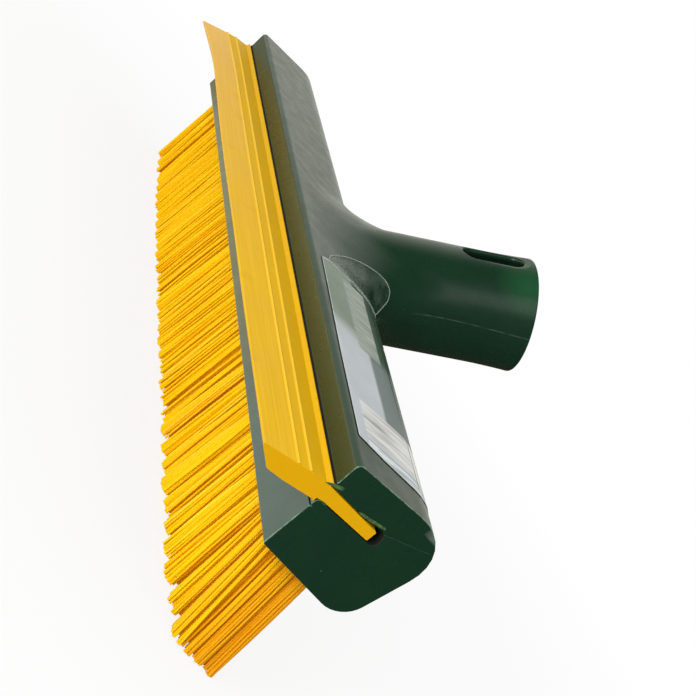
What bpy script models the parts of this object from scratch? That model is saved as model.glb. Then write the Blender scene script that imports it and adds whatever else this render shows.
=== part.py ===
"""Broom head with a squeegee blade.

A long moulded head stands on its bristles. A rubber squeegee blade is slid
endways into a slot along the front of the head. A slanted socket for a
handle grows out of the back and top of the head in one moulding.

Axes: +X along the head, -Y the squeegee side, +Z up. The bristle tips stand
on Z = 0 and the object is centred over the origin. Sizes are in metres.
"""

import math

import bmesh
import bpy
from mathutils import Matrix, Vector

MM = 0.001

# Head block, seen from its end: front foot of the section at y = 0, z = 0
HEAD_LENGTH = 300 * MM
BASE_DEPTH = 27.5 * MM
FRONT_HEIGHT = 28.3 * MM
FRONT_LEAN = math.radians(5.2)
BACK_LEAN = math.radians(5.5)
TOP_SLOPE = math.radians(6.6)
TOP_BACK_RADIUS = 10 * MM
BASE_BACK_RADIUS = 7.5 * MM
FRONT_EDGE_RADIUS = 0.6 * MM
END_EDGE_BEVEL = 0.3 * MM

# Slot along the front that holds the blade
SLOT_HEIGHT = 16.3 * MM
SLOT_SLOPE = math.radians(4.6)
SLOT_MOUTH_GAP = 4.15 * MM
SLOT_END_GAP = 3.5 * MM
SLOT_DEPTH = 17.2 * MM
SLOT_END_RADIUS = 1.6 * MM
RELIEF_START = 8.3 * MM
RELIEF_STEP = 0.9 * MM
NOSE_REACH = 1.5 * MM
NOSE_HEIGHT = 1.1 * MM
JAW_EDGE_RADIUS = 1.0 * MM
JAW_GROOVE_DROP = 2.4 * MM
JAW_GROOVE_SIZE = 0.45 * MM

# Squeegee blade
FIT_GAP = 0.3 * MM
ROOT_DEPTH = 14.4 * MM
LIP_START = 1.4 * MM
LIP_LENGTH = 18.0 * MM
LIP_THICKNESS = 5.2 * MM
LIP_DROOP = math.radians(14.5)
TIP_BEVEL_LENGTH = 4.6 * MM
TIP_THINNING = 0.4 * MM
RIB_HEIGHT = 0.35 * MM
RIB_WIDTH = 1.1 * MM
RIB_OFFSETS = (4.7 * MM, 8.1 * MM)
SHOULDER_HEIGHT = 0.9 * MM
SHOULDER_WIDTH = 0.9 * MM
VALLEY_DEPTH = 0.4 * MM
HEEL_DEPTH = 0.4 * MM
CURL_LENGTH = 50 * MM
CURL_DROP = 2.7 * MM
CURL_POWER = 1.5
CURL_RINGS = 6

# Handle socket
SOCKET_SLANT = math.radians(38.4)
SOCKET_SEAT_Y = 19.4 * MM
SOCKET_SEAT_Z = 13.9 * MM
SOCKET_REACH = 67.7 * MM
SOCKET_RADIUS = 17.1 * MM
SOCKET_LIP_RADIUS = 1.4 * MM
SOCKET_SIDES = 48
LIP_RINGS = 3
FLARE_SIDE = 24 * MM
FLARE_TOP = 6.5 * MM
FLARE_UNDER = 4.0 * MM
FLARE_RINGS = 8
FLARE_SINK = 0.25 * MM
ROOT_SINK = 2.5 * MM
ROOT_CENTRE = 5 * MM
ROOT_CLEARANCE = 0.5 * MM
UNDERSIDE_STEP = 0.3 * MM
BORE_MOUTH_RADIUS = 12.9 * MM
BORE_END_RADIUS = 12.3 * MM
BORE_DEPTH = 56 * MM
BORE_CHAMFER = 0.8 * MM
PIN_HOLE_LENGTH = 19.5 * MM
PIN_HOLE_WIDTH = 9 * MM
PIN_HOLE_SETBACK = 13.0 * MM
PIN_HOLE_SIDES = 24

# Bristles
BRISTLE_LENGTH = 31 * MM
TRIM_DEPTH = 0.5 * MM
ROW_COUNT = 4
ROW_PITCH = 4.4 * MM
FIRST_ROW_Y = 5.3 * MM
FIELD_LENGTH = 281 * MM
TUFTS_PER_ROW = 34
STRANDS_PER_TUFT = 3
STRAND_SIDES = 4
STRAND_RADIUS = 0.75 * MM
STRAND_TIP_RADIUS = 0.6 * MM
TUFT_ROOT_SPREAD = 1.05 * MM
TUFT_TIP_SPREAD = 1.9 * MM
ROW_LEAN = 1.3 * MM
NEAR_END_LEAN = 4.5 * MM
FAR_END_LEAN = 0.5 * MM
TUFT_TURN = 0.11
ROW_TURN = 0.23
BACKING_THICKNESS = 3 * MM
BACKING_MARGIN = 3 * MM
STRAND_ANCHOR = 1 * MM

ARC_STEP = math.radians(15)
SHARP_ANGLE = math.radians(30)
CUTTER_OVERSHOOT = 5 * MM

PARTS = "broom_head_with_squeegee"
CUTTERS = "cutters"


def clear_scene():
    for obj in list(bpy.data.objects):
        bpy.data.objects.remove(obj, do_unlink=True)


def new_collection(name):
    collection = bpy.data.collections.new(name)
    bpy.context.scene.collection.children.link(collection)
    return collection


def material(name, colour, roughness):
    """Plain Principled plastic or rubber of one colour."""
    result = bpy.data.materials.new(name)
    result.use_nodes = True
    shader = result.node_tree.nodes["Principled BSDF"]
    shader.inputs["Base Color"].default_value = (*colour, 1.0)
    shader.inputs["Roughness"].default_value = roughness
    shader.inputs["Metallic"].default_value = 0.0
    result.diffuse_color = (*colour, 1.0)
    return result


def add_object(name, mesh, collection, look=None):
    obj = bpy.data.objects.new(name, mesh)
    collection.objects.link(obj)
    if look is not None:
        obj.data.materials.append(look)
    return obj


def add_cutter(name, mesh):
    obj = add_object(name, mesh, bpy.data.collections[CUTTERS])
    obj.hide_render = True
    obj.display_type = "WIRE"
    return obj


def mesh_from(bm, name):
    bmesh.ops.recalc_face_normals(bm, faces=bm.faces)
    mesh = bpy.data.meshes.new(name)
    bm.to_mesh(mesh)
    bm.free()
    return mesh


def boolean(target, cutter, operation):
    modifier = target.modifiers.new(cutter.name, "BOOLEAN")
    modifier.object = cutter
    modifier.operation = operation
    modifier.solver = "EXACT"


def apply_modifiers(obj):
    """Keep the shape that the modifiers give and drop the modifiers."""
    graph = bpy.context.evaluated_depsgraph_get()
    graph.update()
    mesh = bpy.data.meshes.new_from_object(obj.evaluated_get(graph))
    old = obj.data
    obj.modifiers.clear()
    obj.data = mesh
    bpy.data.meshes.remove(old)


def shade_round(obj):
    obj.data.shade_smooth()
    obj.data.set_sharp_from_angle(angle=SHARP_ANGLE)


def rounded_outline(corners):
    """Turn (y, z, radius) corners into a closed outline with true arcs."""
    points = []
    count = len(corners)
    for index, (y, z, radius) in enumerate(corners):
        here = Vector((y, z))
        before = (Vector(corners[index - 1][:2]) - here).normalized()
        after = (Vector(corners[(index + 1) % count][:2]) - here).normalized()
        if radius <= 0:
            points.append(here)
            continue
        half = before.angle(after) / 2
        turn = math.pi - 2 * half
        centre = here + (before + after).normalized() * (radius / math.sin(half))
        start = here + before * (radius / math.tan(half)) - centre
        side = 1 if before.x * after.y - before.y * after.x < 0 else -1
        steps = max(2, math.ceil(turn / ARC_STEP))
        for step in range(steps + 1):
            angle = side * turn * step / steps
            spoke = Matrix.Rotation(angle, 2) @ start
            points.append(centre + spoke)
    return points


def extruded_outline(name, points, length):
    """Extrude a (y, z) outline along X, centred on x = 0."""
    curve = bpy.data.curves.new(name, "CURVE")
    curve.dimensions = "2D"
    curve.fill_mode = "BOTH"
    curve.extrude = length / 2
    spline = curve.splines.new("POLY")
    spline.points.add(len(points) - 1)
    for spline_point, point in zip(spline.points, points):
        spline_point.co = (point.x, point.y, 0, 1)
    spline.use_cyclic_u = True
    guide = bpy.data.objects.new(name, curve)
    bpy.data.collections[CUTTERS].objects.link(guide)
    guide.matrix_world = Matrix(((0, 0, 1, 0), (1, 0, 0, 0), (0, 1, 0, 0), (0, 0, 0, 1)))
    graph = bpy.context.evaluated_depsgraph_get()
    graph.update()
    mesh = bpy.data.meshes.new_from_object(guide.evaluated_get(graph))
    bm = bmesh.new()
    bm.from_mesh(mesh)
    bmesh.ops.transform(bm, matrix=guide.matrix_world, verts=bm.verts)
    bmesh.ops.remove_doubles(bm, verts=bm.verts, dist=1e-6)
    bmesh.ops.dissolve_limit(bm, angle_limit=math.radians(0.1), verts=bm.verts, edges=bm.edges)
    bpy.data.meshes.remove(mesh)
    bpy.data.objects.remove(guide, do_unlink=True)
    bpy.data.curves.remove(curve)
    return bm


def slot_point(inward, upward):
    """Section point given along and across the slot, from its lower mouth."""
    along = Vector((math.cos(SLOT_SLOPE), math.sin(SLOT_SLOPE)))
    across = Vector((-math.sin(SLOT_SLOPE), math.cos(SLOT_SLOPE)))
    return Vector((0, SLOT_HEIGHT)) + along * inward + across * upward


def front_face_y(z):
    """The front face leans out over the blade as it rises."""
    return -math.tan(FRONT_LEAN) * z


def back_face_y(z):
    return BASE_DEPTH + math.tan(BACK_LEAN) * z


def block_corners():
    """Section of the head block, anticlockwise from the front foot."""
    front_top_y = front_face_y(FRONT_HEIGHT)
    rise = math.tan(TOP_SLOPE)
    back_top_z = (FRONT_HEIGHT + rise * (BASE_DEPTH - front_top_y)) / (1 - rise * math.tan(BACK_LEAN))
    slot_low_end = slot_point(SLOT_DEPTH, 0)
    slot_high_end = slot_point(SLOT_DEPTH - RELIEF_STEP, SLOT_END_GAP + RELIEF_STEP)
    relief_gap = SLOT_MOUTH_GAP + (SLOT_END_GAP - SLOT_MOUTH_GAP) * RELIEF_START / ROOT_DEPTH
    relief = slot_point(RELIEF_START, relief_gap)
    mouth_top = slot_point(0, SLOT_MOUTH_GAP)
    jaw_z = SLOT_HEIGHT
    groove_z = jaw_z - JAW_GROOVE_DROP
    upper_face_z = mouth_top.y + NOSE_HEIGHT + JAW_GROOVE_SIZE
    upper_face_y = front_face_y(upper_face_z) + NOSE_REACH - JAW_GROOVE_SIZE
    nose_y = front_face_y(mouth_top.y)
    return [
        (0, 0, FRONT_EDGE_RADIUS),
        (BASE_DEPTH, 0, BASE_BACK_RADIUS),
        (back_face_y(back_top_z), back_top_z, TOP_BACK_RADIUS),
        (front_top_y, FRONT_HEIGHT, FRONT_EDGE_RADIUS),
        (upper_face_y, upper_face_z, 0),
        (nose_y, mouth_top.y + NOSE_HEIGHT, NOSE_HEIGHT / 4),
        (nose_y, mouth_top.y, NOSE_HEIGHT / 4),
        (relief.x, relief.y, 0),
        (slot_high_end.x, slot_high_end.y, SLOT_END_RADIUS),
        (slot_low_end.x, slot_low_end.y, SLOT_END_RADIUS),
        (front_face_y(jaw_z), jaw_z + math.sin(SLOT_SLOPE) * front_face_y(jaw_z), JAW_EDGE_RADIUS),
        (front_face_y(groove_z), groove_z + JAW_GROOVE_SIZE / 2, 0),
        (front_face_y(groove_z) + JAW_GROOVE_SIZE, groove_z, 0),
        (front_face_y(groove_z), groove_z - JAW_GROOVE_SIZE / 2, 0),
    ]


def lip_point(outward, upward):
    """Section point given along and across the blade's outer lip."""
    top_start = slot_point(0, SLOT_MOUTH_GAP) + Vector((front_face_y(SLOT_HEIGHT) - LIP_START, 0))
    along = Vector((-math.cos(LIP_DROOP), -math.sin(LIP_DROOP)))
    across = Vector((-math.sin(LIP_DROOP), math.cos(LIP_DROOP)))
    return top_start + along * outward + across * upward


def blade_corners():
    """Section of the blade, anticlockwise from the root's lower corner."""
    nose_y = front_face_y(slot_point(0, SLOT_MOUTH_GAP).y)
    mouth_y = front_face_y(SLOT_HEIGHT) - FIT_GAP
    root_low = slot_point(ROOT_DEPTH, FIT_GAP)
    root_high = slot_point(ROOT_DEPTH, SLOT_END_GAP - FIT_GAP)
    mouth_high = slot_point(0, SLOT_MOUTH_GAP - FIT_GAP)
    mouth_low = slot_point(0, FIT_GAP)
    shoulder_foot = lip_point(SHOULDER_WIDTH, -VALLEY_DEPTH)
    shoulder_z = lip_point(0, SHOULDER_HEIGHT).y
    corners = [
        (root_low.x, root_low.y, FIT_GAP),
        (root_high.x, root_high.y, FIT_GAP),
        (mouth_high.x, mouth_high.y, 0),
        (nose_y - FIT_GAP, mouth_high.y, 0),
        (nose_y - FIT_GAP, shoulder_z, SHOULDER_WIDTH / 3),
        (nose_y - FIT_GAP - SHOULDER_WIDTH, shoulder_z, SHOULDER_WIDTH / 3),
        (shoulder_foot.x, shoulder_foot.y, SHOULDER_WIDTH / 3),
    ]
    for offset in RIB_OFFSETS:
        for outward, upward in ((-RIB_WIDTH / 2, 0), (0, RIB_HEIGHT), (RIB_WIDTH / 2, 0)):
            point = lip_point(offset + outward, upward)
            corners.append((point.x, point.y, 0))
    tip = lip_point(LIP_LENGTH, 0)
    heel_out = lip_point(LIP_LENGTH - TIP_BEVEL_LENGTH, TIP_THINNING - LIP_THICKNESS)
    under = lip_point(LIP_LENGTH / 2, -LIP_THICKNESS)
    heel = lip_point(SHOULDER_WIDTH, -LIP_THICKNESS)
    corners += [
        (tip.x, tip.y, FIT_GAP),
        (heel_out.x, heel_out.y, LIP_THICKNESS / 6),
        (under.x, under.y, 0),
        (heel.x, heel.y, 0),
        (mouth_y - HEEL_DEPTH, heel.y - HEEL_DEPTH, 0),
        (mouth_y, heel.y - HEEL_DEPTH, 0),
        (mouth_y, mouth_low.y - JAW_EDGE_RADIUS / 2, 0),
        (mouth_low.x, mouth_low.y, 0),
    ]
    return corners


def socket_axes():
    """Socket seat point, its direction, and the direction down behind it."""
    seat = Vector((0, SOCKET_SEAT_Y, SOCKET_SEAT_Z))
    along = Vector((0, math.cos(SOCKET_SLANT), math.sin(SOCKET_SLANT)))
    down = Vector((0, math.sin(SOCKET_SLANT), -math.cos(SOCKET_SLANT)))
    return seat, along, down


def socket_matrix():
    """Places a shape modelled round +Z so that +Z runs out of the socket."""
    seat, along, down = socket_axes()
    turn = Matrix(((1, 0, 0), down, along)).transposed()
    return Matrix.Translation(seat) @ turn.to_4x4()


def block_reach(outline, offset):
    """How far along the socket the block's skin lies, at a sideways offset.

    Past the block's front edge or its back foot the skin is carried on from
    the last offset that still meets the block.
    """
    seat, along, down = socket_axes()
    heading = Vector((along.y, along.z))
    sideways = Vector((down.y, down.z))
    centre = Vector((seat.y, seat.z))
    lowest = max((point - centre).dot(sideways) for point in outline) - BASE_BACK_RADIUS / 100
    held = min(max(offset, -front_limit()), lowest)
    start = centre + sideways * held
    reaches = []
    for index, point in enumerate(outline):
        edge = outline[(index + 1) % len(outline)] - point
        cross = heading.x * edge.y - heading.y * edge.x
        if abs(cross) < 1e-12:
            continue
        gap = point - start
        share = (gap.x * heading.y - gap.y * heading.x) / cross
        if 0 <= share <= 1:
            reaches.append((gap.x * edge.y - gap.y * edge.x) / cross)
    return max(reaches) - max(offset - held, 0)


def front_limit():
    """Offset from the socket's axis to just behind the block's front edge."""
    seat, along, down = socket_axes()
    edge = Vector((0, front_face_y(FRONT_HEIGHT), FRONT_HEIGHT))
    return (seat - edge).dot(down) - 2 * FRONT_EDGE_RADIUS


def flare_width(angle):
    """The flare is widest along the head and narrow over its top and back."""
    sideways = math.cos(angle) ** 2
    if math.sin(angle) > 0:
        return FLARE_SIDE * sideways + FLARE_UNDER * (1 - sideways)
    top = min(FLARE_TOP, max(front_limit() - SOCKET_RADIUS, FLARE_UNDER))
    return FLARE_SIDE * sideways + top * (1 - sideways)


def ring_points(height):
    """One ring of the socket: height gives (radius, reach) for each angle."""
    points = []
    for side in range(SOCKET_SIDES):
        angle = 2 * math.pi * side / SOCKET_SIDES
        radius, reach = height(angle)
        points.append((radius * math.cos(angle), radius * math.sin(angle), reach))
    return points


def flare_ring(outline, spread, lift):
    """Ring of the flared root. Spread is 1 at its outer edge, 0 at the tube."""
    def height(angle):
        width = flare_width(angle)
        radius = SOCKET_RADIUS + width * spread
        return radius, block_reach(outline, radius * math.sin(angle)) + lift(width)
    return ring_points(height)


def socket_solid(outline):
    """Loft of the flared root and the straight socket, closed at both ends."""
    bends = [math.pi / 2 * step / FLARE_RINGS for step in range(FLARE_RINGS + 1)]
    rings = []
    for bend in bends[:-1]:
        spread = 1 - math.cos(bend)
        rings.append(flare_ring(outline, spread, lambda width: -FLARE_SINK - ROOT_SINK * (1 - spread)))
    for bend in reversed(bends):
        rise = 1 - math.sin(bend)
        rings.append(flare_ring(outline, 1 - math.cos(bend), lambda width: width * rise - FLARE_SINK))
    for step in range(LIP_RINGS + 1):
        bend = math.pi / 2 * step / LIP_RINGS
        radius = SOCKET_RADIUS - SOCKET_LIP_RADIUS * (1 - math.cos(bend))
        reach = SOCKET_REACH - SOCKET_LIP_RADIUS * (1 - math.sin(bend))
        rings.append(ring_points(lambda angle: (radius, reach)))
    bm = bmesh.new()
    loops = []
    for ring in rings:
        verts = [bm.verts.new(point) for point in ring]
        loops.append([bm.edges.new((verts[i - 1], verts[i])) for i in range(len(verts))])
    for lower, upper in zip(loops, loops[1:]):
        bmesh.ops.bridge_loops(bm, edges=lower + upper)
    deepest = min(vert.co.z for edge in loops[0] for vert in edge.verts)
    centre = bm.verts.new((0, 0, max(deepest, ROOT_CENTRE)))
    for edge in loops[0]:
        bm.faces.new((edge.verts[0], edge.verts[1], centre))
    bmesh.ops.contextual_create(bm, geom=loops[-1])
    bmesh.ops.recalc_face_normals(bm, faces=bm.faces)
    bmesh.ops.triangulate(bm, faces=bm.faces, quad_method="SHORT_EDGE")
    bmesh.ops.transform(bm, matrix=socket_matrix(), verts=bm.verts)
    return bm


def underside_cutter():
    """Trims the socket's root just above the block's underside."""
    reach = SOCKET_RADIUS + FLARE_SIDE + CUTTER_OVERSHOOT
    low = (-reach, -reach, -2 * reach)
    high = (reach, SOCKET_SEAT_Y + 2 * reach, UNDERSIDE_STEP)
    return add_cutter("underside_cutter", mesh_from(box(low, high), "underside_cutter"))


def slot_keepout():
    """Space round the slot that the socket's buried root leaves free."""
    low = -ROOT_CLEARANCE
    high = SLOT_MOUTH_GAP + RELIEF_STEP + ROOT_CLEARANCE
    inner = SLOT_DEPTH + ROOT_CLEARANCE
    corners = [(-BASE_DEPTH, low), (inner, low), (inner, high), (-BASE_DEPTH, high)]
    points = [slot_point(inward, upward) for inward, upward in corners]
    bm = extruded_outline("slot_keepout", points, HEAD_LENGTH)
    return add_cutter("slot_keepout", mesh_from(bm, "slot_keepout"))


def turned_cutter(name, profile, sides, matrix):
    """Screw an (r, s) profile, listed from its top down, round +Z."""
    mesh = bpy.data.meshes.new(name)
    bm = bmesh.new()
    verts = [bm.verts.new((r, 0, s)) for r, s in profile]
    for upper, lower in zip(verts, verts[1:]):
        bm.edges.new((upper, lower))
    bm.to_mesh(mesh)
    bm.free()
    obj = add_cutter(name, mesh)
    screw = obj.modifiers.new("turn", "SCREW")
    screw.steps = sides
    screw.render_steps = sides
    screw.use_merge_vertices = True
    screw.merge_threshold = 1e-6
    apply_modifiers(obj)
    obj.matrix_world = matrix
    return obj


def bore_cutter():
    """Tapered bore for the handle, with a chamfer at the mouth."""
    foot = SOCKET_REACH - BORE_DEPTH
    lip = SOCKET_REACH - BORE_CHAMFER
    out = SOCKET_REACH + CUTTER_OVERSHOOT
    flared = BORE_MOUTH_RADIUS + BORE_CHAMFER + CUTTER_OVERSHOOT
    profile = [(0, out), (flared, out), (BORE_MOUTH_RADIUS, lip), (BORE_END_RADIUS, foot), (0, foot)]
    return turned_cutter("bore_cutter", profile, SOCKET_SIDES, socket_matrix())


def pin_hole_cutter():
    """Oval hole through the socket's upper wall, for the handle's catch."""
    straight = PIN_HOLE_LENGTH - PIN_HOLE_WIDTH
    centre = SOCKET_REACH - PIN_HOLE_SETBACK
    bm = bmesh.new()
    bmesh.ops.create_circle(bm, cap_ends=True, radius=PIN_HOLE_WIDTH / 2, segments=PIN_HOLE_SIDES)
    for vert in bm.verts:
        if vert.co.y > 1e-6:
            vert.co.y += straight / 2
        elif vert.co.y < -1e-6:
            vert.co.y -= straight / 2
    made = bmesh.ops.extrude_face_region(bm, geom=bm.faces[:])
    moved = [item for item in made["geom"] if isinstance(item, bmesh.types.BMVert)]
    bmesh.ops.translate(bm, verts=moved, vec=(0, 0, SOCKET_RADIUS + CUTTER_OVERSHOOT))
    turn = Matrix.Rotation(math.pi / 2, 4, "X")
    place = socket_matrix() @ Matrix.Translation((0, 0, centre)) @ turn
    bmesh.ops.transform(bm, matrix=place, verts=bm.verts)
    return add_cutter("pin_hole_cutter", mesh_from(bm, "pin_hole_cutter"))


def row_y(row):
    return FIRST_ROW_Y + ROW_PITCH * row


def backing_half_length():
    return FIELD_LENGTH / 2 + BACKING_MARGIN


def box(low, high):
    bm = bmesh.new()
    bmesh.ops.create_cube(bm, size=1)
    size = Vector(high) - Vector(low)
    bmesh.ops.scale(bm, vec=size, verts=bm.verts)
    bmesh.ops.translate(bm, vec=Vector(low) + size / 2, verts=bm.verts)
    return bm


def pocket_cutter():
    """Pocket in the head's underside for the tufted backing strips."""
    half = backing_half_length() + FIT_GAP
    low = (-half, row_y(0) - ROW_PITCH / 2 - FIT_GAP / 2, -CUTTER_OVERSHOOT)
    high = (half, row_y(ROW_COUNT - 1) + ROW_PITCH / 2 + FIT_GAP / 2, BACKING_THICKNESS + FIT_GAP)
    return add_cutter("pocket_cutter", mesh_from(box(low, high), "pocket_cutter"))


def head_moulding(look, place):
    """Block with its slot, flared socket, bore, pin hole and tuft pocket."""
    outline = rounded_outline(block_corners())
    bm = extruded_outline("block", outline, HEAD_LENGTH)
    ends = [edge for edge in bm.edges if abs(sum(v.co.x for v in edge.verts)) > HEAD_LENGTH * 0.999]
    bmesh.ops.bevel(bm, geom=ends, offset=END_EDGE_BEVEL, segments=1, profile=0.5, affect="EDGES")
    head = add_object("head_moulding", mesh_from(bm, "head_moulding"), bpy.data.collections[PARTS], look)
    socket = add_cutter("socket_root", mesh_from(socket_solid(outline), "socket_root"))
    boolean(socket, slot_keepout(), "DIFFERENCE")
    boolean(socket, underside_cutter(), "DIFFERENCE")
    apply_modifiers(socket)
    boolean(head, socket, "UNION")
    for cutter in (bore_cutter(), pin_hole_cutter(), pocket_cutter()):
        boolean(head, cutter, "DIFFERENCE")
    apply_modifiers(head)
    shade_round(head)
    head.matrix_world = place
    return head


def curl_blade(bm):
    """The lip's free edge has taken a set: it sags towards the -X end."""
    hinge = lip_point(0, 0)
    droop = Vector((-math.cos(LIP_DROOP), -math.sin(LIP_DROOP)))
    far_end = -HEAD_LENGTH / 2
    for ring in range(CURL_RINGS):
        cut_x = far_end + CURL_LENGTH * (CURL_RINGS - ring) / CURL_RINGS
        bmesh.ops.bisect_plane(
            bm, geom=bm.verts[:] + bm.edges[:] + bm.faces[:], dist=1e-7,
            plane_co=(cut_x, 0, 0), plane_no=(1, 0, 0))
    for vert in bm.verts:
        outward = (Vector((vert.co.y, vert.co.z)) - hinge).dot(droop) / LIP_LENGTH
        nearness = 1 - (vert.co.x - far_end) / CURL_LENGTH
        if outward > 0 and nearness > 0:
            vert.co.z -= CURL_DROP * (outward * nearness) ** CURL_POWER


def squeegee_blade(look, place):
    """Extruded rubber blade whose root fits the slot."""
    bm = extruded_outline("blade", rounded_outline(blade_corners()), HEAD_LENGTH)
    curl_blade(bm)
    blade = add_object("squeegee_blade", mesh_from(bm, "squeegee_blade"), bpy.data.collections[PARTS], look)
    shade_round(blade)
    blade.matrix_world = place
    return blade


def strand_ends(row, tuft, strand):
    """Root and tip of one strand. Tufts fan out to the back and the +X end."""
    middle = (TUFTS_PER_ROW - 1) / 2
    share = (tuft - middle) / middle
    spin = 2 * math.pi * (strand / STRANDS_PER_TUFT + TUFT_TURN * tuft + ROW_TURN * row)
    swing = Vector((math.cos(spin), math.sin(spin), 0))
    end_lean = NEAR_END_LEAN if share > 0 else FAR_END_LEAN
    root = Vector((share * FIELD_LENGTH / 2, row_y(row), STRAND_ANCHOR))
    tip = root + Vector((share * end_lean, ROW_LEAN * row, 0))
    tip.z = -BRISTLE_LENGTH - TRIM_DEPTH
    return root + swing * TUFT_ROOT_SPREAD, tip + swing * TUFT_TIP_SPREAD


def bristle_row(row, look, place):
    """One row of tufts, fused to a slice of the backing they stand in."""
    half = backing_half_length()
    width = ROW_PITCH - FIT_GAP
    low = (-half, row_y(row) - width / 2, 0)
    high = (half, row_y(row) + width / 2, BACKING_THICKNESS)
    name = "bristle_row_%d" % (row + 1)
    strip = add_object(name, mesh_from(box(low, high), name), bpy.data.collections[PARTS], look)
    bm = bmesh.new()
    for tuft in range(TUFTS_PER_ROW):
        for strand in range(STRANDS_PER_TUFT):
            root, tip = strand_ends(row, tuft, strand)
            run = root - tip
            made = bmesh.ops.create_cone(
                bm, cap_ends=True, segments=STRAND_SIDES, radius1=STRAND_TIP_RADIUS,
                radius2=STRAND_RADIUS, depth=run.length)
            matrix = Matrix.Translation((root + tip) / 2) @ run.to_track_quat("Z", "X").to_matrix().to_4x4()
            bmesh.ops.transform(bm, matrix=matrix, verts=made["verts"])
    cut = bmesh.ops.bisect_plane(
        bm, geom=bm.verts[:] + bm.edges[:] + bm.faces[:], dist=1e-7,
        plane_co=(0, 0, -BRISTLE_LENGTH), plane_no=(0, 0, 1), clear_inner=True)
    open_edges = [item for item in cut["geom_cut"] if isinstance(item, bmesh.types.BMEdge)]
    bmesh.ops.holes_fill(bm, edges=open_edges, sides=0)
    strands = add_cutter(name + "_strands", mesh_from(bm, name + "_strands"))
    boolean(strip, strands, "UNION")
    apply_modifiers(strip)
    strip.matrix_world = place
    return strip


def standing_place():
    """Move from the section's own corner to the centre of the footprint."""
    seat, along, down = socket_axes()
    inner_reach = SOCKET_REACH - SOCKET_LIP_RADIUS
    inner_radius = SOCKET_RADIUS - SOCKET_LIP_RADIUS
    back = seat.y + along.y * inner_reach + down.y * inner_radius + SOCKET_LIP_RADIUS
    front = lip_point(LIP_LENGTH, 0).x
    return Matrix.Translation((0, -(front + back) / 2, BRISTLE_LENGTH))


def main():
    clear_scene()
    new_collection(PARTS)
    new_collection(CUTTERS)
    green = material("green polypropylene", (0.013, 0.045, 0.025), 0.35)
    yellow = material("yellow rubber", (0.74, 0.40, 0.01), 0.55)
    bristle = material("yellow bristle", (0.85, 0.45, 0.01), 0.45)
    place = standing_place()
    head_moulding(green, place)
    squeegee_blade(yellow, place)
    for row in range(ROW_COUNT):
        bristle_row(row, bristle, place)


main()
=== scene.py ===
"""Looks of a broom head with a squeegee blade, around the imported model.

The head, the blade and the bristles are modelled again with finer surfaces
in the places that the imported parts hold. Sizes are real ones in metres, most
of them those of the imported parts, and a few set slightly apart to look right.
Section sizes are measured from the block's front foot: y goes back from it
and z goes up from its underside.
"""

import math
import random

import bmesh
import bpy
from mathutils import Matrix, Vector
from mathutils.bvhtree import BVHTree

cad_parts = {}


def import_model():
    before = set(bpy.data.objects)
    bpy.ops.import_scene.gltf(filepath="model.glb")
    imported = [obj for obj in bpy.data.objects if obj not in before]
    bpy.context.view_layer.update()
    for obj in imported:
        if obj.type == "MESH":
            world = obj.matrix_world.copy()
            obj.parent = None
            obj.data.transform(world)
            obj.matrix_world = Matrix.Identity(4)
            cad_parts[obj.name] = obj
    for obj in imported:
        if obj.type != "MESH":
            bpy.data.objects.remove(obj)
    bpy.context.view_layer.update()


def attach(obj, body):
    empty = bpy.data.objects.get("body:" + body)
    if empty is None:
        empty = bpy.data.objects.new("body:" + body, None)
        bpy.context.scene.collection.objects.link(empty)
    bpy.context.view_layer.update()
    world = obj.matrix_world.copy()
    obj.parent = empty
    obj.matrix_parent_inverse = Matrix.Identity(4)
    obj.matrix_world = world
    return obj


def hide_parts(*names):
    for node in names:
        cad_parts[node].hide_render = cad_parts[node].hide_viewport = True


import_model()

MM = 0.001
SECTION_PLACE = Vector((0, -30.934 * MM, 31.0 * MM))

# Head block
HEAD_LENGTH = 300 * MM
HEAD_END = HEAD_LENGTH / 2
BASE_DEPTH = 27.9 * MM
FRONT_HEIGHT = 28.3 * MM
FRONT_LEAN = math.radians(5.2)
BACK_LEAN = math.radians(5.5)
TOP_SLOPE = math.radians(6.6)
TOP_BACK_RADIUS = 11.0 * MM
BASE_BACK_RADIUS = 7.0 * MM
FRONT_EDGE_RADIUS = 0.6 * MM
FRONT_TOP_RADIUS = 1.5 * MM
END_EDGE_RADIUS = 0.35 * MM

# Slot for the blade
SLOT_HEIGHT = 16.3 * MM
SLOT_SLOPE = math.radians(4.6)
SLOT_MOUTH_GAP = 4.15 * MM
SLOT_END_GAP = 3.5 * MM
SLOT_DEPTH = 17.2 * MM
SLOT_END_RADIUS = 1.6 * MM
RELIEF_START = 8.3 * MM
RELIEF_STEP = 0.9 * MM
NOSE_REACH = 0.7 * MM
NOSE_HEIGHT = 1.1 * MM
NOSE_RADIUS = 0.25 * MM
JAW_EDGE_RADIUS = 1.0 * MM
JAW_GROOVE_DROP = 2.4 * MM
JAW_GROOVE_SIZE = 0.45 * MM

# Blade
FIT_GAP = 0.3 * MM
ROOT_DEPTH = 14.4 * MM
LIP_START = 0.95 * MM
LIP_LENGTH = 18.4 * MM
LIP_THICKNESS = 5.2 * MM
LIP_DROOP = math.radians(14.5)
TIP_BEVEL_LENGTH = 4.6 * MM
TIP_THINNING = 0.4 * MM
TIP_RADIUS = 0.35 * MM
RIB_HEIGHT = 0.4 * MM
RIB_WIDTH = 1.1 * MM
RIB_RADIUS = 0.3 * MM
RIB_OFFSETS = (5.15 * MM, 8.55 * MM)
SHOULDER_HEIGHT = 0.75 * MM
SHOULDER_WIDTH = 0.45 * MM
VALLEY_DEPTH = 0.4 * MM
HEEL_DEPTH = 0.4 * MM
CURL_LENGTH = 50 * MM
CURL_DROP = 2.7 * MM
CURL_POWER = 1.5
SAG_DROP = 0.9 * MM
SAG_MIDDLE = 15 * MM
SAG_REACH = 135 * MM
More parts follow.
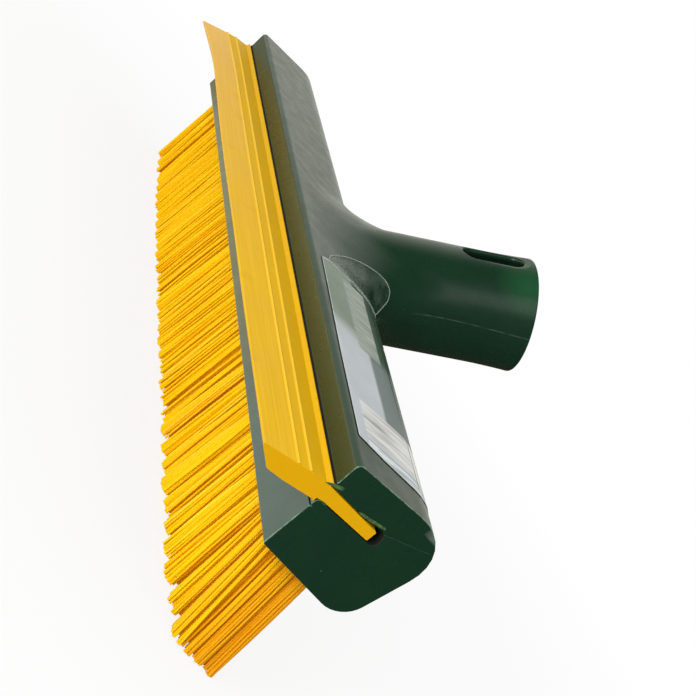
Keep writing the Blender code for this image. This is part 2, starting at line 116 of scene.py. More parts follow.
RIPPLE_HEIGHT = 0.16 * MM
RIPPLE_LENGTH = 47 * MM
OVERTONE_SHARE = 0.5
OVERTONE_PITCH = 2.7
BLADE_STATION = 5 * MM

# Socket
SOCKET_SLANT = math.radians(38.4)
SOCKET_SEAT = Vector((0, 19.4 * MM, 13.9 * MM))
SOCKET_REACH = 67.7 * MM
SOCKET_RADIUS = 17.1 * MM
SOCKET_LIP_RADIUS = 0.4 * MM
SOCKET_BELL = 0.5 * MM
SOCKET_BELL_LENGTH = 16 * MM
SOCKET_SIDES = 120
LIP_RINGS = 6
BELL_RINGS = 6
FLARE_SIDE = 21 * MM
FLARE_RISE = 1.8
FLARE_FULLNESS = 2.3
FLARE_TOP = 6.5 * MM
FLARE_UNDER = 4.0 * MM
FLARE_RINGS = 22
FLARE_SINK = 0.04 * MM
FLARE_FRONT_MARGIN = 1.2 * MM
ROOT_SINK = 2.0 * MM
ROOT_SPREADS = (0, 0.3, 0.6, 0.85)
ROOT_CENTRE = 5 * MM
ROOT_CLEARANCE = 0.5 * MM
UNDERSIDE_STEP = 0.3 * MM
PARTING_DROP = -4.2 * MM
PARTING_TILT = -0.055
PARTING_START = 29 * MM
BORE_MOUTH_RADIUS = 12.9 * MM
BORE_END_RADIUS = 12.3 * MM
BORE_DEPTH = 56 * MM
BORE_CHAMFER = 0.8 * MM
PIN_HOLE_LENGTH = 19.5 * MM
PIN_HOLE_WIDTH = 8.0 * MM
PIN_HOLE_TURN = math.radians(-4.8)
PIN_HOLE_SETBACK = 13.0 * MM
PIN_HOLE_RIM = 1.1 * MM
PIN_HOLE_SIDES = 64

# Moulding flash on the near end face: outlines as (y, z) in the section, in millimetres
FLASH_OUTLINES = (
    ((-3.8, 20.0), (-2.9, 20.1), (-1.8, 20.5), (-0.6, 20.9), (0.5, 21.6), (0.1, 22.3),
     (-1.2, 21.7), (-2.6, 20.9)),
    ((7.0, 20.9), (8.0, 20.75), (9.4, 21.0), (11.0, 21.3), (12.5, 21.8), (14.8, 22.5),
     (14.4, 23.0), (12.0, 22.4), (10.0, 21.9), (8.2, 21.5)),
    ((15.6, 21.55), (21.0, 23.9), (26.8, 26.45), (26.8, 26.57), (21.0, 24.04), (15.6, 21.67)))
FLASH_LIFT = 0.12 * MM

# Bristles
BRISTLE_LENGTH = 31 * MM
ROW_COUNT = 4
ROW_PITCH = 4.4 * MM
FIRST_ROW_Y = 5.3 * MM
FIELD_LENGTH = 278 * MM
FIELD_MIDDLE = 1.5 * MM
TUFTS_PER_ROW = 34
STAGGER_LENGTH = 40 * MM
FILAMENTS_PER_TUFT = 42
FILAMENT_RADIUS = 0.34 * MM
FILAMENT_POINTS = 4
FILAMENT_SHARP_ANGLE = math.radians(100)
FILAMENT_SEED = 1700
TUFT_HOLE_RADIUS = 2.1 * MM
TUFT_ROOT_REACH = 1.95 * MM
TUFT_HOLE_DEPTH = 1.6 * MM
TUFT_FULLNESS = 0.4
FILAMENT_START = TUFT_HOLE_DEPTH * 0.8
TUFT_TIP_REACH_X = 3.6 * MM
TUFT_TIP_REACH_Y = 2.0 * MM
TUFT_WANDER = 0.35 * MM
TUFT_RAGGED = 0.4 * MM
FILAMENT_RAGGED = 0.2 * MM
FILAMENT_BOW = 0.25 * MM
LEAN_BACK = 1.1 * MM
NEAR_END_LEAN = 7.6 * MM
FAR_END_LEAN = 6.2 * MM
END_LEAN_POWER = 3
FAR_SWEEP = 4.2 * MM
FAR_SWEEP_LENGTH = 90 * MM
FAR_SWEEP_POWER = 1.5
CORNER_SWEEP = 1.9 * MM
CORNER_SWEEP_LENGTH = 16 * MM
FILAMENT_GLOW = 0.11
TONE_BY_CHANCE = 0.5
# Filament tone: chance, plus painted shade that gives back rows and the back of each tuft a lower,
# deeper orange tone
SHADE_BY_ROW = 0.3
SHADE_BY_SIDE = 0.1

# Label on the top face: outlines as (x, y) seen from above, in millimetres
LABEL_OUTLINE = (
    (39.2, 0.8), (95.2, -0.5), (135.7, -0.8), (137.9, 8.0), (138.9, 17.0), (139.1, 24.5),
    (138.1, 25.5), (42.5, 25.5), (41.4, 21.6), (39.6, 17.5), (37.6, 12.5), (36.6, 8.0), (37.2, 4.0))
FLAP_OUTLINE = (
    (37.4, 3.6), (32.3, 5.4), (27.0, 9.0), (22.6, 12.8), (20.9, 15.4), (19.8, 18.0), (19.3, 20.9),
    (19.2, 24.1), (19.8, 27.6), (21.2, 30.2), (23.4, 31.5), (27.5, 30.6), (33.0, 28.0), (41.0, 25.0),
    (41.0, 20.0), (39.0, 16.0), (37.2, 12.5), (36.2, 8.0))
LABEL_LIFT = 0.12 * MM
FLAP_LIFT = 0.35 * MM
LABEL_THICKNESS = 0.12 * MM
LABEL_CELL = 1.2 * MM
LABEL_RIM = 0.6 * MM
LABEL_CORNER = 0.8 * MM
LABEL_CORNER_SEGMENTS = 3
LABEL_SMOOTHINGS = 4

# Camera, lamps (place, width and power), world and floor
CAMERA_PLACE = Vector((456.6, -212.0, 144.3)) * MM
CAMERA_TURN = (math.radians(70.339), math.radians(-53.346), math.radians(79.329))
CAMERA_LENS = 87.93
SENSOR_WIDTH = 36.0
CAMERA_CLIP_START = 0.01
KEY_LAMP = ((0.845, -0.295, 0.80), 0.6, 1.1)
FILL_LAMP = ((0.81, -0.99, 0.26), 0.8, 13.7)
WORLD_STRENGTH = 0.92
WORLD_GLOSS = 0.8
WORLD_SIDE_FADE = (-0.86, -0.42, WORLD_GLOSS, 0.05)
WORLD_LOW_FADE = (0.17, 0.05, 1.0, 1.35)
FLOOR_RADIUS = 6.0
FLOOR_GLOW_HEADING = (-0.15, -0.99, 0)
FLOOR_GLOW_FADE = (-0.04, 0.03, 0.05, 1.5)
FLOOR_FAR_FADE = (-0.42, -0.65, 0.0, WORLD_GLOSS)
FLOOR_CORNER_X_FADE = (-0.23, -0.31)
FLOOR_CORNER_Y_FADE = (0.0, -0.06)
FLOOR_GLOSS_CORNER = 0.45
FLOOR_CLEAN_FADE = (0.18, 0.4, 0.85, 1.0)
FLOOR_TINT_FADE = (-0.04, 0.02)

# Fineness of the meshes
SHARP_ANGLE = math.radians(32)
SAME_PLACE = 1e-7
BLOCK_ROUND_SEGMENTS = 8
END_EDGE_SEGMENTS = 3
BLADE_ROUND_SEGMENTS = 4
RIM_RINGS = 5
TUFT_HOLE_SIDES = 14
FLOOR_SIDES = 96

# Where looks change. A fade holds where a mark begins and where it is full, and
# at times its strengths there. Lengths are x, y or z from the block's front foot,
# radii from the socket's axis, or distances from the middle of a small mark.

# Green polypropylene
SCUFF_FADE = (0.72, 0.82)
SCUFFED_PART_FADE = (0.55, 0.7)
SCUFF_STRENGTH = 0.12
SPECK_SPACING = 9 * MM
SPECK_FADE = (0.022, 0.012)
# Painted glow: a paler green patch round this place, near the socket's mouth, stands for light
# coming through the thin wall
THIN_WALL_PLACE = Vector((9.0, 31.0, 95.5)) * MM
THIN_WALL_GLOW_FADE = (2 * MM, 11 * MM, 0.45, 0.0)
PARTING_FADE = (0.05 * MM, 0.2 * MM, 1.0, 0.0)
PARTING_BREAKS_FADE = (0.4, 0.58, 0.05, 0.2)
PARTING_RUN_IN = 6 * MM
HOLE_WALL_SHADE_FADE = (SOCKET_RADIUS - PIN_HOLE_RIM, SOCKET_RADIUS - 1.6 * PIN_HOLE_RIM, 0.0, 0.75)
HOLE_RIM_HIGHLIGHT_FADE = (SOCKET_RADIUS - 0.12 * MM, SOCKET_RADIUS - 0.4 * MM)
HOLE_NEAR_SIDE_FADE = (1 * MM, 2 * MM, 0.0, 0.7)
HOLE_LIP_GAP = 2 * MM
END_EDGE_FADE = (HEAD_END - 1.3 * END_EDGE_RADIUS, HEAD_END - END_EDGE_RADIUS)
END_FACE_FADE = (HEAD_END - 0.05 * MM, HEAD_END - 0.02 * MM, 1.0, 0.0)
EDGE_FRONT_FADE = (2 * MM, 0.5 * MM)
EDGE_TOP_FADE = (FRONT_HEIGHT - 2.5 * MM, FRONT_HEIGHT - 1 * MM)
EDGE_HIGHLIGHT_BREAKS_FADE = (0.4, 0.6, 0.15, 0.7)
# Band of painted sheen along the back edge of the top face
BAND_FADE = (21 * MM, 23.5 * MM)
BAND_HEIGHT_FADE = (FRONT_HEIGHT, FRONT_HEIGHT + 0.5 * MM)
BAND_FLARE_FADE = (34 * MM, 44 * MM)
BAND_SHEEN_BREAKS_FADE = (0.38, 0.6, 0.16, 0.4)
# Where the slot's cavity behind the blade is painted dark as shade
SLOT_FLOOR_FADE = (SLOT_HEIGHT, SLOT_HEIGHT + 0.3 * MM)
SLOT_ROOF_FADE = (SLOT_HEIGHT + 5.5 * MM, SLOT_HEIGHT + 5.2 * MM)
SLOT_DEPTH_FADE = (SLOT_DEPTH + 0.4 * MM, SLOT_DEPTH + 0.2 * MM)
SLOT_ROUGHNESS = 0.9
SATIN_FADE = (0.3, 0.7, 0.25, 0.33)
FLASH_PATCH_FADE = (0.35, 0.65)
FLASH_LINE_FADE = 0.2 * MM

# Yellow rubber
LINE_FADE = (0.35, 0.75, 0.0, 0.35)
LIP_FADE = 0.6 * MM
# Bloomed skin and painted sheen grow from the near end to the far end
BLOOM_AND_SHEEN_FADE = (100 * MM, -150 * MM)
BLOOM_AND_SHEEN_POWER = 2.0
BLOOM_AND_SHEEN_STRENGTH = 0.42
SMEAR_FADE = (0.62, 0.74, 0.0, 0.18)
# Painted highlights along the rib crests
CREST_HIGHLIGHT_FADE = (0.5 * MM, 0.2 * MM, 0.0, 0.6)
BLADE_END_FADE = (HEAD_END - 0.05 * MM, HEAD_END - 0.01 * MM)
DULL_FADE = (0.3, 0.7, 0.42, 0.55)

# Yellow filament
PALE_FADE = (0.84, 0.92, 0.0, 0.18)
STREAK_FADE = (0.6, 0.78, 0.0, 0.5)
# Where filaments are painted deeper orange as shade
SHADED_END_FADE = (134 * MM, 146 * MM)
SHADED_ROW_FADE = (FIRST_ROW_Y + ROW_PITCH / 2, FIRST_ROW_Y + 3 * ROW_PITCH, 0.25, 0.8)

# Label and its flap
FLAP_END_FADE = (72 * MM, 80 * MM)
CLEAR_BAND_FADE = (12 * MM, 13 * MM)
CLEAR_BAND_TONE_FADE = (78 * MM, 84 * MM)
PATCH_X_FADES = ((41.5 * MM, 42 * MM), (82 * MM, 81.5 * MM))
PATCH_Y_FADES = ((8.4 * MM, 9.2 * MM), (17.2 * MM, 16.8 * MM))
FOLD_FADE = (0.35, 0.65)
PANEL_X = 114.5 * MM
PANEL_Y = 2.6 * MM
PANEL_FADE = 0.6 * MM
PANEL_GLOSS_FADE = (0, 1, 0.45, 0.3)
FOIL_CREASE_FADE = (0.42, 0.7)
FOIL_BACK_HIGHLIGHT_FADE = (19 * MM, 23 * MM)
FOIL_BORDER_FADE = (131.5 * MM, 133 * MM)
BORDER_HIGHLIGHT_FADE = (0.45, 0.6)
LABEL_RIM_HIGHLIGHT_FADE = (0.1, 0.3)
# Painted shadow line along the label's front and near edges
LABEL_SHADOW_FADE = (0.42, 0.5)
SHADOW_FRONT_FADE = (2 * MM, 1 * MM)
SHADOW_NEAR_FADE = (134 * MM, 134.5 * MM)
HAZE_FADE = (0.4, 0.75, 0.0, 0.05)
FLAP_RIM_HIGHLIGHT_FADE = (0.45, 0.9, 0.0, 0.55)
FLAP_GLOSS_FADE = (0.3, 0.7, 0.12, 0.3)


# Helpers

def linear(hex_colour):
    """Turn an sRGB hex colour into the linear values that shaders take."""
    values = [int(hex_colour[i:i + 2], 16) / 255 for i in (1, 3, 5)]
    return [v / 12.92 if v <= 0.04045 else ((v + 0.055) / 1.055) ** 2.4 for v in values] + [1.0]


def connect(tree, node, inputs):
    """Link a node's inputs to sockets, or set them. Hex colours turn linear."""
    for name, value in inputs.items():
        if isinstance(value, bpy.types.NodeSocket):
            tree.links.new(value, node.inputs[name])
        else:
            is_colour = isinstance(value, str)
            node.inputs[name].default_value = linear(value) if is_colour else value


def add(tree, kind, inputs=(), **settings):
    """Add a node with its settings and links, and give its outputs. Inputs
    come in the node's own order, or by name."""
    node = tree.nodes.new("ShaderNode" + kind)
    for name, value in settings.items():
        setattr(node, name, value)
    connect(tree, node, inputs if isinstance(inputs, dict) else dict(enumerate(inputs)))
    return node.outputs


def put(name, data):
    """Put a mesh, curve, lamp or camera into the scene as an object."""
    obj = bpy.data.objects.new(name, data)
    bpy.context.scene.collection.objects.link(obj)
    return obj


def new_object(name, bm, look=None):
    mesh = bpy.data.meshes.new(name)
    bm.to_mesh(mesh)
    bm.free()
    if look is not None:
        mesh.materials.append(look)
    return put(name, mesh)


def final_mesh(obj):
    """Mesh of an object with its modifiers, or its curve's thickness, applied."""
    graph = bpy.context.evaluated_depsgraph_get()
    graph.update()
    return bpy.data.meshes.new_from_object(obj.evaluated_get(graph))


def cut(target, tool, operation="DIFFERENCE"):
    """Apply one exact Boolean to the target and remove the tool."""
    modifier = target.modifiers.new("cut", "BOOLEAN")
    modifier.object = tool
    modifier.operation = operation
    modifier.solver = "EXACT"
    mesh = final_mesh(target)
    target.modifiers.clear()
    target.data = mesh
    bpy.data.objects.remove(tool, do_unlink=True)


def shade_round(obj, angle=SHARP_ANGLE):
    obj.data.shade_smooth()
    obj.data.set_sharp_from_angle(angle=angle)


def weight_normals(obj):
    """Let large flat faces keep their normals beside small round ones."""
    modifier = obj.modifiers.new("weighted normals", "WEIGHTED_NORMAL")
    modifier.keep_sharp = True


def round_off(bm, geom, reach, segments, affect="VERTICES", clamp=True):
    """Round corners or edges off."""
    bmesh.ops.bevel(
        bm, geom=geom, offset=reach, offset_type="OFFSET", segments=segments, profile=0.5,
        affect=affect, material=-1, clamp_overlap=clamp)


def slice_mesh(bm, place, normal, same_place=SAME_PLACE):
    """Cut every face of a mesh along a plane and keep both sides."""
    bmesh.ops.bisect_plane(
        bm, geom=bm.verts[:] + bm.edges[:] + bm.faces[:], dist=same_place,
        plane_co=place, plane_no=normal)


def section_face(corners, x, segments):
    """Face across the length from (y, z, radius) corners, with round corners."""
    bm = bmesh.new()
    verts = [bm.verts.new((x, y, z)) for y, z, radius in corners]
    bm.faces.new(verts)
    places = [vert.co.copy() for vert in verts]
    count = len(corners)
    for index, (y, z, radius) in enumerate(corners):
        if radius <= 0:
            continue
        before = places[index - 1] - places[index]
        after = places[(index + 1) % count] - places[index]
        reach = radius / math.tan(before.angle(after) / 2)
        round_off(bm, [verts[index]], reach, segments, clamp=False)
    return bm


def extrude_to(bm, length):
    """Extrude the section's faces along X."""
    made = bmesh.ops.extrude_face_region(bm, geom=bm.faces[:])
    moved = [item for item in made["geom"] if isinstance(item, bmesh.types.BMVert)]
    bmesh.ops.translate(bm, verts=moved, vec=(length, 0, 0))
    bmesh.ops.recalc_face_normals(bm, faces=bm.faces)


def loft(rings, bottom_centre=None):
    """Bridge closed rings of points. The bottom is a fan or one face."""
    bm = bmesh.new()
    loops = []
    for ring in rings:
        verts = [bm.verts.new(point) for point in ring]
        loops.append([bm.edges.new((verts[i - 1], verts[i])) for i in range(len(verts))])
    for lower, upper in zip(loops, loops[1:]):
        bmesh.ops.bridge_loops(bm, edges=lower + upper)
    if bottom_centre is None:
        bmesh.ops.contextual_create(bm, geom=loops[0])
    else:
        centre = bm.verts.new(bottom_centre)
        for edge in loops[0]:
            bm.faces.new((edge.verts[0], edge.verts[1], centre))
    bmesh.ops.contextual_create(bm, geom=loops[-1])
    bmesh.ops.recalc_face_normals(bm, faces=bm.faces)
    return bm


# Shapes of the section

def slot_point(inward, upward):
    """Section point given along and across the slot, from its lower mouth."""
    along = Vector((math.cos(SLOT_SLOPE), math.sin(SLOT_SLOPE)))
    across = Vector((-math.sin(SLOT_SLOPE), math.cos(SLOT_SLOPE)))
    return Vector((0, SLOT_HEIGHT)) + along * inward + across * upward


def front_face_y(z):
    return -math.tan(FRONT_LEAN) * z


def block_corners():
    """Section of the block as (y, z, radius), anticlockwise from the front foot."""
    front_top_y = front_face_y(FRONT_HEIGHT)
    rise = math.tan(TOP_SLOPE)
    lean = math.tan(BACK_LEAN)
    back_top_z = (FRONT_HEIGHT + rise * (BASE_DEPTH - front_top_y)) / (1 - rise * lean)
    back_top_y = BASE_DEPTH + lean * back_top_z
    low_end = slot_point(SLOT_DEPTH, 0)
    high_end = slot_point(SLOT_DEPTH - RELIEF_STEP, SLOT_END_GAP + RELIEF_STEP)
    relief_gap = SLOT_MOUTH_GAP + (SLOT_END_GAP - SLOT_MOUTH_GAP) * RELIEF_START / ROOT_DEPTH
    relief = slot_point(RELIEF_START, relief_gap)
    mouth_top = slot_point(0, SLOT_MOUTH_GAP)
    groove_z = SLOT_HEIGHT - JAW_GROOVE_DROP
    upper_face_z = mouth_top.y + NOSE_HEIGHT + JAW_GROOVE_SIZE
    upper_face_y = front_face_y(upper_face_z) + NOSE_REACH - JAW_GROOVE_SIZE
    nose_y = front_face_y(mouth_top.y)
    jaw_y = front_face_y(SLOT_HEIGHT)
    return [
        (0, 0, FRONT_EDGE_RADIUS),
        (BASE_DEPTH, 0, BASE_BACK_RADIUS),
        (back_top_y, back_top_z, TOP_BACK_RADIUS),
        (front_top_y, FRONT_HEIGHT, FRONT_TOP_RADIUS),
        (upper_face_y, upper_face_z, 0),
        (nose_y, mouth_top.y + NOSE_HEIGHT, NOSE_RADIUS),
        (nose_y, mouth_top.y, NOSE_RADIUS),
        (relief.x, relief.y, 0),
        (high_end.x, high_end.y, SLOT_END_RADIUS),
        (low_end.x, low_end.y, SLOT_END_RADIUS),
        (jaw_y, SLOT_HEIGHT + math.sin(SLOT_SLOPE) * jaw_y, JAW_EDGE_RADIUS),
        (front_face_y(groove_z), groove_z + JAW_GROOVE_SIZE / 2, 0),
        (front_face_y(groove_z) + JAW_GROOVE_SIZE, groove_z, 0),
        (front_face_y(groove_z), groove_z - JAW_GROOVE_SIZE / 2, 0),
    ]


def lip_point(outward, upward):
    """Section point given along and across the blade's outer lip."""
    start = slot_point(0, SLOT_MOUTH_GAP) + Vector((front_face_y(SLOT_HEIGHT) - LIP_START, 0))
    along = Vector((-math.cos(LIP_DROOP), -math.sin(LIP_DROOP)))
    across = Vector((-math.sin(LIP_DROOP), math.cos(LIP_DROOP)))
    return start + along * outward + across * upward


def blade_corners():
    """Section of the blade as (y, z, radius), from the root's lower corner."""
    nose_y = front_face_y(slot_point(0, SLOT_MOUTH_GAP).y) - FIT_GAP
    mouth_y = front_face_y(SLOT_HEIGHT) - FIT_GAP
    root_low = slot_point(ROOT_DEPTH, FIT_GAP)
    root_high = slot_point(ROOT_DEPTH, SLOT_END_GAP - FIT_GAP)
    mouth_high = slot_point(0, SLOT_MOUTH_GAP - FIT_GAP)
    mouth_low = slot_point(0, FIT_GAP)
    shoulder_foot = lip_point(SHOULDER_WIDTH, -VALLEY_DEPTH)
    shoulder_z = lip_point(0, SHOULDER_HEIGHT).y
    corners = [
        (root_low.x, root_low.y, FIT_GAP),
        (root_high.x, root_high.y, FIT_GAP),
        (mouth_high.x, mouth_high.y, 0),
        (nose_y, mouth_high.y, 0),
        (nose_y, shoulder_z, SHOULDER_WIDTH / 3),
        (nose_y - SHOULDER_WIDTH, shoulder_z, SHOULDER_WIDTH / 3),
        (shoulder_foot.x, shoulder_foot.y, SHOULDER_WIDTH / 3),
    ]
    for offset in RIB_OFFSETS:
        for outward, upward in ((-RIB_WIDTH / 2, 0), (0, RIB_HEIGHT), (RIB_WIDTH / 2, 0)):
            point = lip_point(offset + outward, upward)
            corners.append((point.x, point.y, RIB_RADIUS if upward else 0))
    tip = lip_point(LIP_LENGTH, 0)
    heel_out = lip_point(LIP_LENGTH - TIP_BEVEL_LENGTH, TIP_THINNING - LIP_THICKNESS)
    under = lip_point(LIP_LENGTH / 2, -LIP_THICKNESS)
    heel = lip_point(SHOULDER_WIDTH, -LIP_THICKNESS)
    corners += [
        (tip.x, tip.y, TIP_RADIUS),
        (heel_out.x, heel_out.y, LIP_THICKNESS / 6),
        (under.x, under.y, 0),
        (heel.x, heel.y, 0),
        (mouth_y - HEEL_DEPTH, heel.y - HEEL_DEPTH, 0),
        (mouth_y, heel.y - HEEL_DEPTH, 0),
        (mouth_y, mouth_low.y - JAW_EDGE_RADIUS / 2, 0),
        (mouth_low.x, mouth_low.y, 0),
    ]
    return corners


# Socket

def socket_axes():
    along = Vector((0, math.cos(SOCKET_SLANT), math.sin(SOCKET_SLANT)))
    down = Vector((0, math.sin(SOCKET_SLANT), -math.cos(SOCKET_SLANT)))
    return along, down


def socket_matrix():
    """Places a shape modelled round +Z so that +Z runs out of the socket."""
    along, down = socket_axes()
    turn = Matrix(((1, 0, 0), down, along)).transposed()
    return Matrix.Translation(SOCKET_SEAT) @ turn.to_4x4()


def front_limit():
    """Offset from the socket's axis to just behind the block's front edge."""
    along, down = socket_axes()
    edge = Vector((0, front_face_y(FRONT_HEIGHT), FRONT_HEIGHT))
    return (SOCKET_SEAT - edge).dot(down) - FLARE_FRONT_MARGIN


def block_reach(outline, offset):
    """How far along the socket the block's skin lies, at a sideways offset."""
    along, down = socket_axes()
    heading = Vector((along.y, along.z))
    sideways = Vector((down.y, down.z))
    centre = Vector((SOCKET_SEAT.y, SOCKET_SEAT.z))
    lowest = max((point - centre).dot(sideways) for point in outline) - BASE_BACK_RADIUS / 100
    held = min(max(offset, -front_limit()), lowest)
    start = centre + sideways * held
    reaches = []
    for index, point in enumerate(outline):
        edge = outline[(index + 1) % len(outline)] - point
        cross = heading.x * edge.y - heading.y * edge.x
        if abs(cross) < 1e-12:
            continue
        gap = point - start
        share = (gap.x * heading.y - gap.y * heading.x) / cross
        if 0 <= share <= 1:
            reaches.append((gap.x * edge.y - gap.y * edge.x) / cross)
    return max(reaches) - max(offset - held, 0)


def flare_width(angle):
    """The flare is widest along the head and narrow over its top and back."""
    sideways = math.cos(angle) ** 2
    if math.sin(angle) > 0:
        return FLARE_SIDE * sideways + FLARE_UNDER * (1 - sideways)
    return FLARE_SIDE * sideways + FLARE_TOP * (1 - sideways)


def ring_points(height):
    """One ring of the socket: height gives (radius, reach) for each angle."""
    points = []
    for side in range(SOCKET_SIDES):
        angle = 2 * math.pi * side / SOCKET_SIDES
        radius, reach = height(angle)
        points.append((radius * math.cos(angle), radius * math.sin(angle), reach))
    return points


def flare_ring(outline, spread, lift):
    """Ring of the flared root. Spread is 1 at its outer edge, 0 at the tube."""
    def height(angle):
        width = flare_width(angle)
        radius = SOCKET_RADIUS + width * spread
        return radius, block_reach(outline, radius * math.sin(angle)) + lift(width)
    return ring_points(height)


def socket_solid(outline):
    """Flared root and straight socket with its rounded lip, closed."""
    bends = [math.pi / 2 * step / FLARE_RINGS for step in range(FLARE_RINGS + 1)]
    rings = []
    for spread in ROOT_SPREADS:
        rings.append(flare_ring(outline, spread, lambda width: -ROOT_SINK))
    for bend in reversed(bends):
        rise = 1 - math.sin(bend) ** (2 / FLARE_FULLNESS)
        spread = 1 - abs(math.cos(bend)) ** (2 / FLARE_FULLNESS)
        rings.append(flare_ring(
            outline, spread, lambda width: width * FLARE_RISE * rise - FLARE_SINK))
    for step in range(BELL_RINGS):
        share = step / BELL_RINGS
        radius = SOCKET_RADIUS + SOCKET_BELL * share ** 2
        reach = SOCKET_REACH - SOCKET_BELL_LENGTH * (1 - share) - SOCKET_LIP_RADIUS
        rings.append(ring_points(lambda angle: (radius, reach)))
    for step in range(LIP_RINGS + 1):
        bend = math.pi / 2 * step / LIP_RINGS
        radius = SOCKET_RADIUS + SOCKET_BELL - SOCKET_LIP_RADIUS * (1 - math.cos(bend))
        reach = SOCKET_REACH - SOCKET_LIP_RADIUS * (1 - math.sin(bend))
        rings.append(ring_points(lambda angle: (radius, reach)))
    deepest = min(point[2] for point in rings[0])
    bm = loft(rings, bottom_centre=(0, 0, max(deepest, ROOT_CENTRE)))
    bmesh.ops.triangulate(bm, faces=bm.faces, quad_method="SHORT_EDGE")
    bmesh.ops.transform(bm, matrix=socket_matrix(), verts=bm.verts)
    return new_object("socket", bm)


def underside_tool():
    """Trims the socket's root just above the block's underside."""
    reach = SOCKET_RADIUS + FLARE_SIDE + ROOT_CENTRE
    bm = bmesh.new()
    bmesh.ops.create_cube(bm, size=4 * reach)
    bmesh.ops.translate(bm, verts=bm.verts, vec=(0, SOCKET_SEAT.y, UNDERSIDE_STEP - 2 * reach))
    return new_object("underside_tool", bm)


def slot_tool():
    """Space round the slot that the socket's buried root leaves free."""
    low = -ROOT_CLEARANCE
    high = SLOT_MOUTH_GAP + RELIEF_STEP + ROOT_CLEARANCE
    inner = SLOT_DEPTH + ROOT_CLEARANCE
    corners = []
    for inward, upward in ((-BASE_DEPTH, low), (inner, low), (inner, high), (-BASE_DEPTH, high)):
        point = slot_point(inward, upward)
        corners.append((point.x, point.y, 0))
    bm = section_face(corners, -HEAD_END, 1)
    extrude_to(bm, HEAD_LENGTH)
    return new_object("slot_tool", bm)


def bore_tool():
    """Tapered bore with a chamfered mouth, spun round the socket's axis."""
    foot = SOCKET_REACH - BORE_DEPTH
    lip = SOCKET_REACH - BORE_CHAMFER
    out = SOCKET_REACH + BORE_END_RADIUS
    flared = BORE_MOUTH_RADIUS + BORE_CHAMFER + BORE_END_RADIUS
    profile = [(0, out), (flared, out), (BORE_MOUTH_RADIUS, lip), (BORE_END_RADIUS, foot), (0, foot)]
    bm = bmesh.new()
    verts = [bm.verts.new((radius, 0, reach)) for radius, reach in profile]
    edges = [bm.edges.new(pair) for pair in zip(verts, verts[1:])]
    bmesh.ops.spin(
        bm, geom=verts + edges, cent=(0, 0, 0), axis=(0, 0, 1), angle=2 * math.pi,
        steps=SOCKET_SIDES, use_merge=True)
    bmesh.ops.remove_doubles(bm, verts=bm.verts, dist=SAME_PLACE)
    bmesh.ops.recalc_face_normals(bm, faces=bm.faces)
    bmesh.ops.transform(bm, matrix=socket_matrix(), verts=bm.verts)
    return new_object("bore_tool", bm)


def catch_hole_tool():
    """Oval hole for the handle's catch. Its rim is rounded over all the way."""
    straight = (PIN_HOLE_LENGTH - PIN_HOLE_WIDTH) / 2
    centre = SOCKET_REACH - PIN_HOLE_SETBACK

    def ring(grow, height):
        points = []
        for side in range(PIN_HOLE_SIDES):
            angle = 2 * math.pi * (side + 0.5) / PIN_HOLE_SIDES
            x = (PIN_HOLE_WIDTH / 2 + grow) * math.cos(angle)
            end = straight if math.sin(angle) > 0 else -straight
            reach = centre + end + (PIN_HOLE_WIDTH / 2 + grow) * math.sin(angle)
            skin = math.sqrt(SOCKET_RADIUS ** 2 - x ** 2)
            points.append((x, -height(skin), reach))
        return points

    rings = [ring(0, lambda skin: 0)]
    for step in range(RIM_RINGS):
        bend = math.pi / 2 * step / RIM_RINGS
        drop = PIN_HOLE_RIM * (1 - math.sin(bend))
        rings.append(ring(PIN_HOLE_RIM * (1 - math.cos(bend)), lambda skin: skin - drop))
    rings.append(ring(2 * PIN_HOLE_RIM, lambda skin: skin + PIN_HOLE_RIM / 3))
    rings.append(ring(2 * PIN_HOLE_RIM, lambda skin: skin + PIN_HOLE_WIDTH))
    bm = loft(rings)
    bmesh.ops.triangulate(bm, faces=bm.faces)
    turn = Matrix.Rotation(PIN_HOLE_TURN, 4, "Z")
    bmesh.ops.transform(bm, matrix=socket_matrix() @ turn, verts=bm.verts)
    return new_object("catch_hole_tool", bm)


# Bristle field

def tuft_root(row, tuft):
    """Place of a tuft on the underside, and how far along its row it is, from
    -1 to 1. Every second row is shifted by half a pitch, and the shift fades
    out at the ends, where the rows stand in line."""
    middle = (TUFTS_PER_ROW - 1) / 2
    share = (tuft - middle) / middle
    x = share * FIELD_LENGTH / 2
    pitch = FIELD_LENGTH / (TUFTS_PER_ROW - 1)
    stagger = min(1, (FIELD_LENGTH / 2 - abs(x)) / STAGGER_LENGTH) * pitch / 4
    x += FIELD_MIDDLE + (stagger if row % 2 else -stagger)
    return Vector((x, FIRST_ROW_Y + ROW_PITCH * row, 0)), share


def tuft_holes_tool():
    """Shallow round holes in the block's underside that the tufts stand in."""
    bm = bmesh.new()
    for row in range(ROW_COUNT):
        for tuft in range(TUFTS_PER_ROW):
            made = bmesh.ops.create_cone(
                bm, cap_ends=True, segments=TUFT_HOLE_SIDES, radius1=TUFT_HOLE_RADIUS,
                radius2=TUFT_HOLE_RADIUS, depth=2 * TUFT_HOLE_DEPTH)
            bmesh.ops.translate(bm, verts=made["verts"], vec=tuft_root(row, tuft)[0])
    return new_object("tuft_holes_tool", bm)


